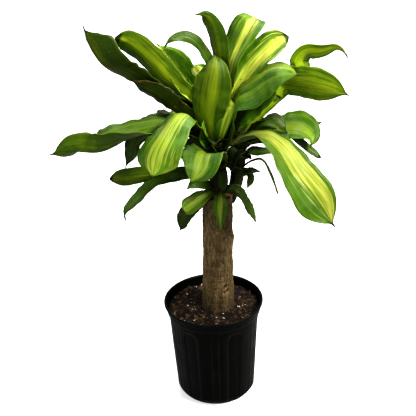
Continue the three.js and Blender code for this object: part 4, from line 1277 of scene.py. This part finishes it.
def leaf_guide(row):
    """The midrib's points, and at each the blade's sideways and upward directions, fold and width."""
    path = np.array([point[:4] for point in row["path"]], float)
    last = len(path) - 1
    folds = [point[4] if len(point) > 4 else row["fold"] * (FOLD_AT_BASE - FOLD_LOSS * i / last)
             for i, point in enumerate(row["path"])]
    fine = np.linspace(0, 1, TRAIL_POINTS)
    trail = smooth_path(path[:, :3], fine)
    run = np.concatenate([[0], np.cumsum(np.linalg.norm(np.diff(trail, axis=0), axis=1))])
    shares = np.linspace(0, 1, GUIDE_POINTS)
    t = np.interp(shares * run[-1], run, fine)
    centre = smooth_path(path[:, :3], t)
    along = unit(smooth_path(path[:, :3], t + GUIDE_STEP) - smooth_path(path[:, :3], t - GUIDE_STEP))
    heading = path[-1, :3] - path[0, :3]
    level = np.array([-heading[1], heading[0], 0]) / np.hypot(heading[0], heading[1])
    side = unit(level - (along @ level)[:, None] * along)
    upper = np.cross(along, side)
    roll = np.radians(smooth_path(path[:, 3:4], t))
    turned_side = np.cos(roll) * side + np.sin(roll) * upper
    turned_upper = np.cos(roll) * upper - np.sin(roll) * side
    fold = np.radians(smooth_path(np.array(folds)[:, None], t))[:, 0]
    return dict(centre=centre, side=turned_side, upper=turned_upper, fold=fold,
                half=half_widths(row, shares), length=run[-1])


def blades_tree():
    """Lays a blade along every guide line: a fine grid is bent to the guide, folded at the midrib,
    waved at its edges, and given its thickness."""
    net, given, result = new_tree("leaf_blades", "GeometryNodeTree", [
        ("Guides", SHAPE, None), ("Leaf Count", WHOLE, 1), ("Points Across", WHOLE, 17),
        ("Points Along", WHOLE, 65), ("Thickness", FLOAT, 0.0009), ("Wave Height", FLOAT, 0.0026),
        ("Wave Count", FLOAT, 2.5), ("Ripple Height", FLOAT, 0.0012), ("Ripple Count", FLOAT, 9.0),
        ("Midrib Depth", FLOAT, 0.0007), ("Midrib Width", FLOAT, 0.07),
        ("Crumple Height", FLOAT, 0.0028), ("Crumple Size", FLOAT, 26.0), ("Tip Crumple", FLOAT, 0.006),
        ("Tip Crumple Size", FLOAT, 85.0), ("Upper Finish", FINISH, None),
        ("Under Finish", FINISH, None)], [("Blades", SHAPE, None)])

    def keep(shape, name, value, kind="FLOAT"):
        return net.add("GeometryNodeStoreNamedAttribute", {
            "Geometry": shape, "Name": name, "Value": value}, data_type=kind)

    def named(name, kind="FLOAT"):
        return net.add("GeometryNodeInputNamedAttribute", (name,), data_type=kind)

    # One flat grid for each leaf, all in one place, and each with its leaf's number.
    grid = net.add("GeometryNodeMeshGrid", (1.0, 1.0, given["Points Across"], given["Points Along"]))
    row = net.add("GeometryNodeMeshLine", {
        "Count": given["Leaf Count"], "Start Location": (0, 0, 0), "Offset": (0, 0, 0)})
    numbered = keep(row, "leaf_number", net.add("GeometryNodeInputIndex"), "INT")
    flat = net.add("GeometryNodeRealizeInstances", (
        net.add("GeometryNodeInstanceOnPoints", {"Points": numbered, "Instance": grid}),))
    x, y, _ = net.parts(net.add("GeometryNodeInputPosition"))
    flat = keep(flat, "across", net.times(x, -2.0))
    flat = keep(flat, "along", net.plus(y, 0.5))
    across, along, number = named("across"), named("along"), named("leaf_number", "INT")
    lines = net.add("GeometryNodeMeshToCurve", (given["Guides"],))

    def read(name, kind="FLOAT", output="Value"):
        """A guide's own value at this place along the leaf."""
        return net.add("GeometryNodeSampleCurve", {
            "Curves": lines, "Value": named(name, kind), "Factor": along, "Curve Index": number},
            output=output, data_type=kind, mode="FACTOR", use_all_curves=False)

    half, fold = read("half_width"), read("fold")
    side, upper = read("side_way", "FLOAT_VECTOR"), read("upper_way", "FLOAT_VECTOR")
    centre = read("fold", output="Position")
    broad, phase, length = net.parts(read("leaf_size", "FLOAT_VECTOR"))
    edge = net.math("ABSOLUTE", across)
    ends = net.math("SINE", net.times(along, math.pi))
    other_edge = net.times(net.math("GREATER_THAN", across, 0.0), OTHER_EDGE_SHIFT)
    leaf_place = net.join(net.times(across, broad, WAVE_WIDTH / 2 * MM), net.times(along, length), phase)

    def waves(count, height, shift, power):
        """Waves along both edges, out of step with each other, that die away towards the midrib."""
        turn = net.plus(net.times(along, count, 2 * math.pi), other_edge, net.times(phase, shift))
        reach = net.times(net.math("POWER", edge, power), height, ends, broad)
        return net.times(net.math("SINE", turn), reach)

    def crumples(size, height, where, detail):
        return net.times(net.centred(net.noise(leaf_place, size, detail=detail)), where, height)

    # How far the blade's surface is lifted off the flat: fold, waves, crumples and half its
    # thickness, less the groove along the midrib.
    at_tip = net.times(net.ramp(along, 0.8, 0.93), net.ramp(along, 0.985, 0.95))
    lift = net.plus(
        net.times(half, net.math("SINE", fold), net.math("POWER", edge, 1.3)),
        waves(given["Wave Count"], given["Wave Height"], shift=1.0, power=2.0),
        waves(given["Ripple Count"], given["Ripple Height"], shift=3.7, power=4.0),
        crumples(given["Crumple Size"], given["Crumple Height"], ends, detail=2.0),
        crumples(given["Tip Crumple Size"], given["Tip Crumple"], at_tip, detail=1.0),
        net.times(given["Thickness"], 0.5),
        net.times(net.ramp(edge, given["Midrib Width"], 0.0), given["Midrib Depth"], -1.0))
    out = net.times(half, net.math("COSINE", fold), across)
    place = net.vector("ADD", centre, net.vector("ADD", net.scaled(side, out), net.scaled(upper, lift)))

    flat = keep(flat, "stripe", read("stripe", "FLOAT_VECTOR"), "FLOAT_VECTOR")
    flat = keep(flat, "tone", read("tone", "FLOAT_VECTOR"), "FLOAT_VECTOR")
    flat = keep(flat, "leaf_place", leaf_place, "FLOAT_VECTOR")
    sheet = net.add("GeometryNodeSetPosition", {"Geometry": flat, "Position": place})
    pushed = net.add("GeometryNodeExtrudeMesh", {
        "Mesh": sheet, "Offset Scale": net.times(given["Thickness"], -1.0), "Individual": False},
        output=None).outputs
    on_underside = net.add("FunctionNodeBooleanMath", (pushed["Top"], pushed["Side"]), operation="OR")
    both = net.add("GeometryNodeJoinGeometry", output=None)
    net.feed(both.inputs[0], net.add("GeometryNodeFlipFaces", (pushed["Mesh"],)))
    net.feed(both.inputs[0], sheet)
    closed = net.add("GeometryNodeMergeByDistance", {"Geometry": both.outputs[0], "Distance": WELD_DISTANCE})
    smooth = net.add("GeometryNodeSetShadeSmooth", {"Geometry": closed})
    net.feed(result.inputs["Blades"], net.finished(
        smooth, given["Upper Finish"], given["Under Finish"], on_underside))
    return net.tree


def make_blades(name, rows, tree, upper_finish, under_finish):
    """All the leaves of one shoot, from a mesh of guide lines that carries what each leaf is like."""
    guides = [leaf_guide(row) for row in rows]
    mesh = bpy.data.meshes.new(name)
    edges = [(GUIDE_POINTS * n + i, GUIDE_POINTS * n + i + 1)
             for n in range(len(rows)) for i in range(GUIDE_POINTS - 1)]

    def joined(key):
        return np.concatenate([guide[key] for guide in guides])

    def spread(values):
        return np.repeat(np.asarray(values, float), GUIDE_POINTS, axis=0)

    mesh.from_pydata((joined("centre") * MM).tolist(), edges, [])
    store(mesh, "side_way", joined("side"), "FLOAT_VECTOR")
    store(mesh, "upper_way", joined("upper"), "FLOAT_VECTOR")
    store(mesh, "fold", joined("fold"))
    store(mesh, "half_width", joined("half") * MM)
    store(mesh, "stripe", spread([row["stripe"] for row in rows]), "FLOAT_VECTOR")
    # Each leaf's painted light and shade for its upper side and its underside, then its burn.
    store(mesh, "tone", spread([(*row["painted_light"], row["burn"]) for row in rows]), "FLOAT_VECTOR")
    store(mesh, "leaf_size", spread([
        (row["width"] / WAVE_WIDTH, guide["length"] * WAVE_SHIFT, guide["length"] * MM)
        for row, guide in zip(rows, guides)]), "FLOAT_VECTOR")
    blades = bpy.data.objects.new(name, mesh)
    bpy.context.scene.collection.objects.link(blades)
    return shaped_by(tree, blades, leaf_count=len(rows), thickness=BLADE_THICKNESS * MM,
                     upper_finish=upper_finish, under_finish=under_finish)


# ---- Floor and light ----------------------------------------------------------------------------

FLOOR_HALF_WIDTH = 14000
FLOOR_FRONT = -9000
FLOOR_BACK = 19000
# The camera sees the floor as pure white from the far distance on, and greyer near the pot, where its
# shadow lies: two distances in metres, and how strongly the floor glows at each.
FLOOR_NEAR = 0.3
FLOOR_NEAR_GLOW = 0.44
FLOOR_FAR = 1.2
FLOOR_FAR_GLOW = 1.0
# How strongly the white surrounding lights the plant, and how much brighter the camera sees it.
SURROUNDING_LIGHT = 0.25
SURROUNDING_GLOW = 0.85
WHITE = (1, 1, 1, 1)

# Each softbox's place and size in metres, its power in watts, and its tint. All face the crown.
CROWN_MIDDLE = (0, 0, 0.55)
SOFTBOXES = {
    "key_softbox": dict(place=(2.0, -1.3, 2.7), size=0.9, power=150, tint=(1.0, 0.985, 0.95)),
    "fill_softbox": dict(place=(-2.0, -2.3, 1.9), size=1.8, power=30, tint=(0.98, 0.99, 1.0)),
    "top_softbox": dict(place=(0.0, 1.0, 2.9), size=1.4, power=58, tint=(1, 1, 1))}


def floor_finish():
    p = Paint("pale_floor", Roughness=0.9, Specular_IOR_Level=0.1, Emission_Color=WHITE)
    place = p.object_place()
    seen = p.add("ShaderNodeLightPath", output="Is Camera Ray")
    pale = p.mottled(place, "#f4f4f4", "#fbfbfb", size=0.5, amount=1.0)
    from_pot = p.add("ShaderNodeVectorMath", {0: place}, operation="LENGTH", output="Value")
    glow = p.ramp(from_pot, FLOOR_NEAR, FLOOR_FAR, FLOOR_NEAR_GLOW, FLOOR_FAR_GLOW)
    p.feed(p.shader.inputs["Base Color"], p.blend(seen, "#8a8a8a", pale))
    p.feed(p.shader.inputs["Emission Strength"], p.times(seen, glow))
    return p.material


def make_floor():
    corner_places = [(-FLOOR_HALF_WIDTH, FLOOR_FRONT, 0), (FLOOR_HALF_WIDTH, FLOOR_FRONT, 0),
                     (FLOOR_HALF_WIDTH, FLOOR_BACK, 0), (-FLOOR_HALF_WIDTH, FLOOR_BACK, 0)]
    floor = mesh_object("floor", corner_places, [(0, 1, 2, 3)], smooth=False)
    floor.data.materials.append(floor_finish())


def make_softbox(name, place, size, power, tint):
    lamp = bpy.data.lights.new(name, "AREA")
    lamp.shape = "DISK"
    lamp.size = size
    lamp.energy = power
    lamp.color = tint
    light = bpy.data.objects.new(name, lamp)
    light.location = place
    light.rotation_euler = (Vector(CROWN_MIDDLE) - Vector(place)).to_track_quat("-Z", "Y").to_euler()
    bpy.context.scene.collection.objects.link(light)


def make_light():
    """The softboxes, and a white surrounding that the camera sees brighter than the plant does."""
    for name, softbox in SOFTBOXES.items():
        make_softbox(name, **softbox)
    world = bpy.data.worlds.new("studio")
    world.use_nodes = True
    net = Net(world.node_tree)
    seen = net.add("ShaderNodeLightPath", output="Is Camera Ray")
    sky = world.node_tree.nodes["Background"]
    sky.inputs["Color"].default_value = WHITE
    net.feed(sky.inputs["Strength"], net.plus(net.times(seen, SURROUNDING_GLOW), SURROUNDING_LIGHT))
    bpy.context.scene.world = world
    bpy.context.scene.view_settings.view_transform = "Standard"
    bpy.context.scene.view_settings.look = "Medium High Contrast"


# ---- Putting the plant together -----------------------------------------------------------------

def settle(pieces, node):
    """The pieces ride with the plant and stand for one node of the part."""
    for piece in pieces:
        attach(piece, "root")
        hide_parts(node)


def build():
    place_camera()
    make_floor()
    make_light()
    settle([make_pot()], "nursery_pot")
    bed = make_soil()
    settle([bed, *make_crumbs(bed)], "potting_soil")
    settle([make_cane()], "cane")
    upper, under, green_stem = upper_leaf_finish(), under_leaf_finish(), stem_finish()
    blades = blades_tree()
    for name, stem_path, rows, back_rows, sheath_rule in (
            ("main", MAIN_STEM, MAIN_LEAVES, MAIN_BACK_LEAVES, MAIN_SHEATHS),
            ("side", SIDE_STEM, SIDE_LEAVES, SIDE_BACK_LEAVES, SIDE_SHEATHS)):
        stem = make_stem(f"{name}_stem", stem_path, green_stem)
        leaves = rows + [back_leaf(row, stem_path) for row in back_rows]
        foliage = make_blades(f"{name}_leaves", leaves, blades, upper, under)
        bases = make_blades(f"{name}_leaf_bases", sheaths(stem_path, sheath_rule), blades, upper, under)
        settle([stem, foliage, bases], f"{name}_leafy_shoot")


build()
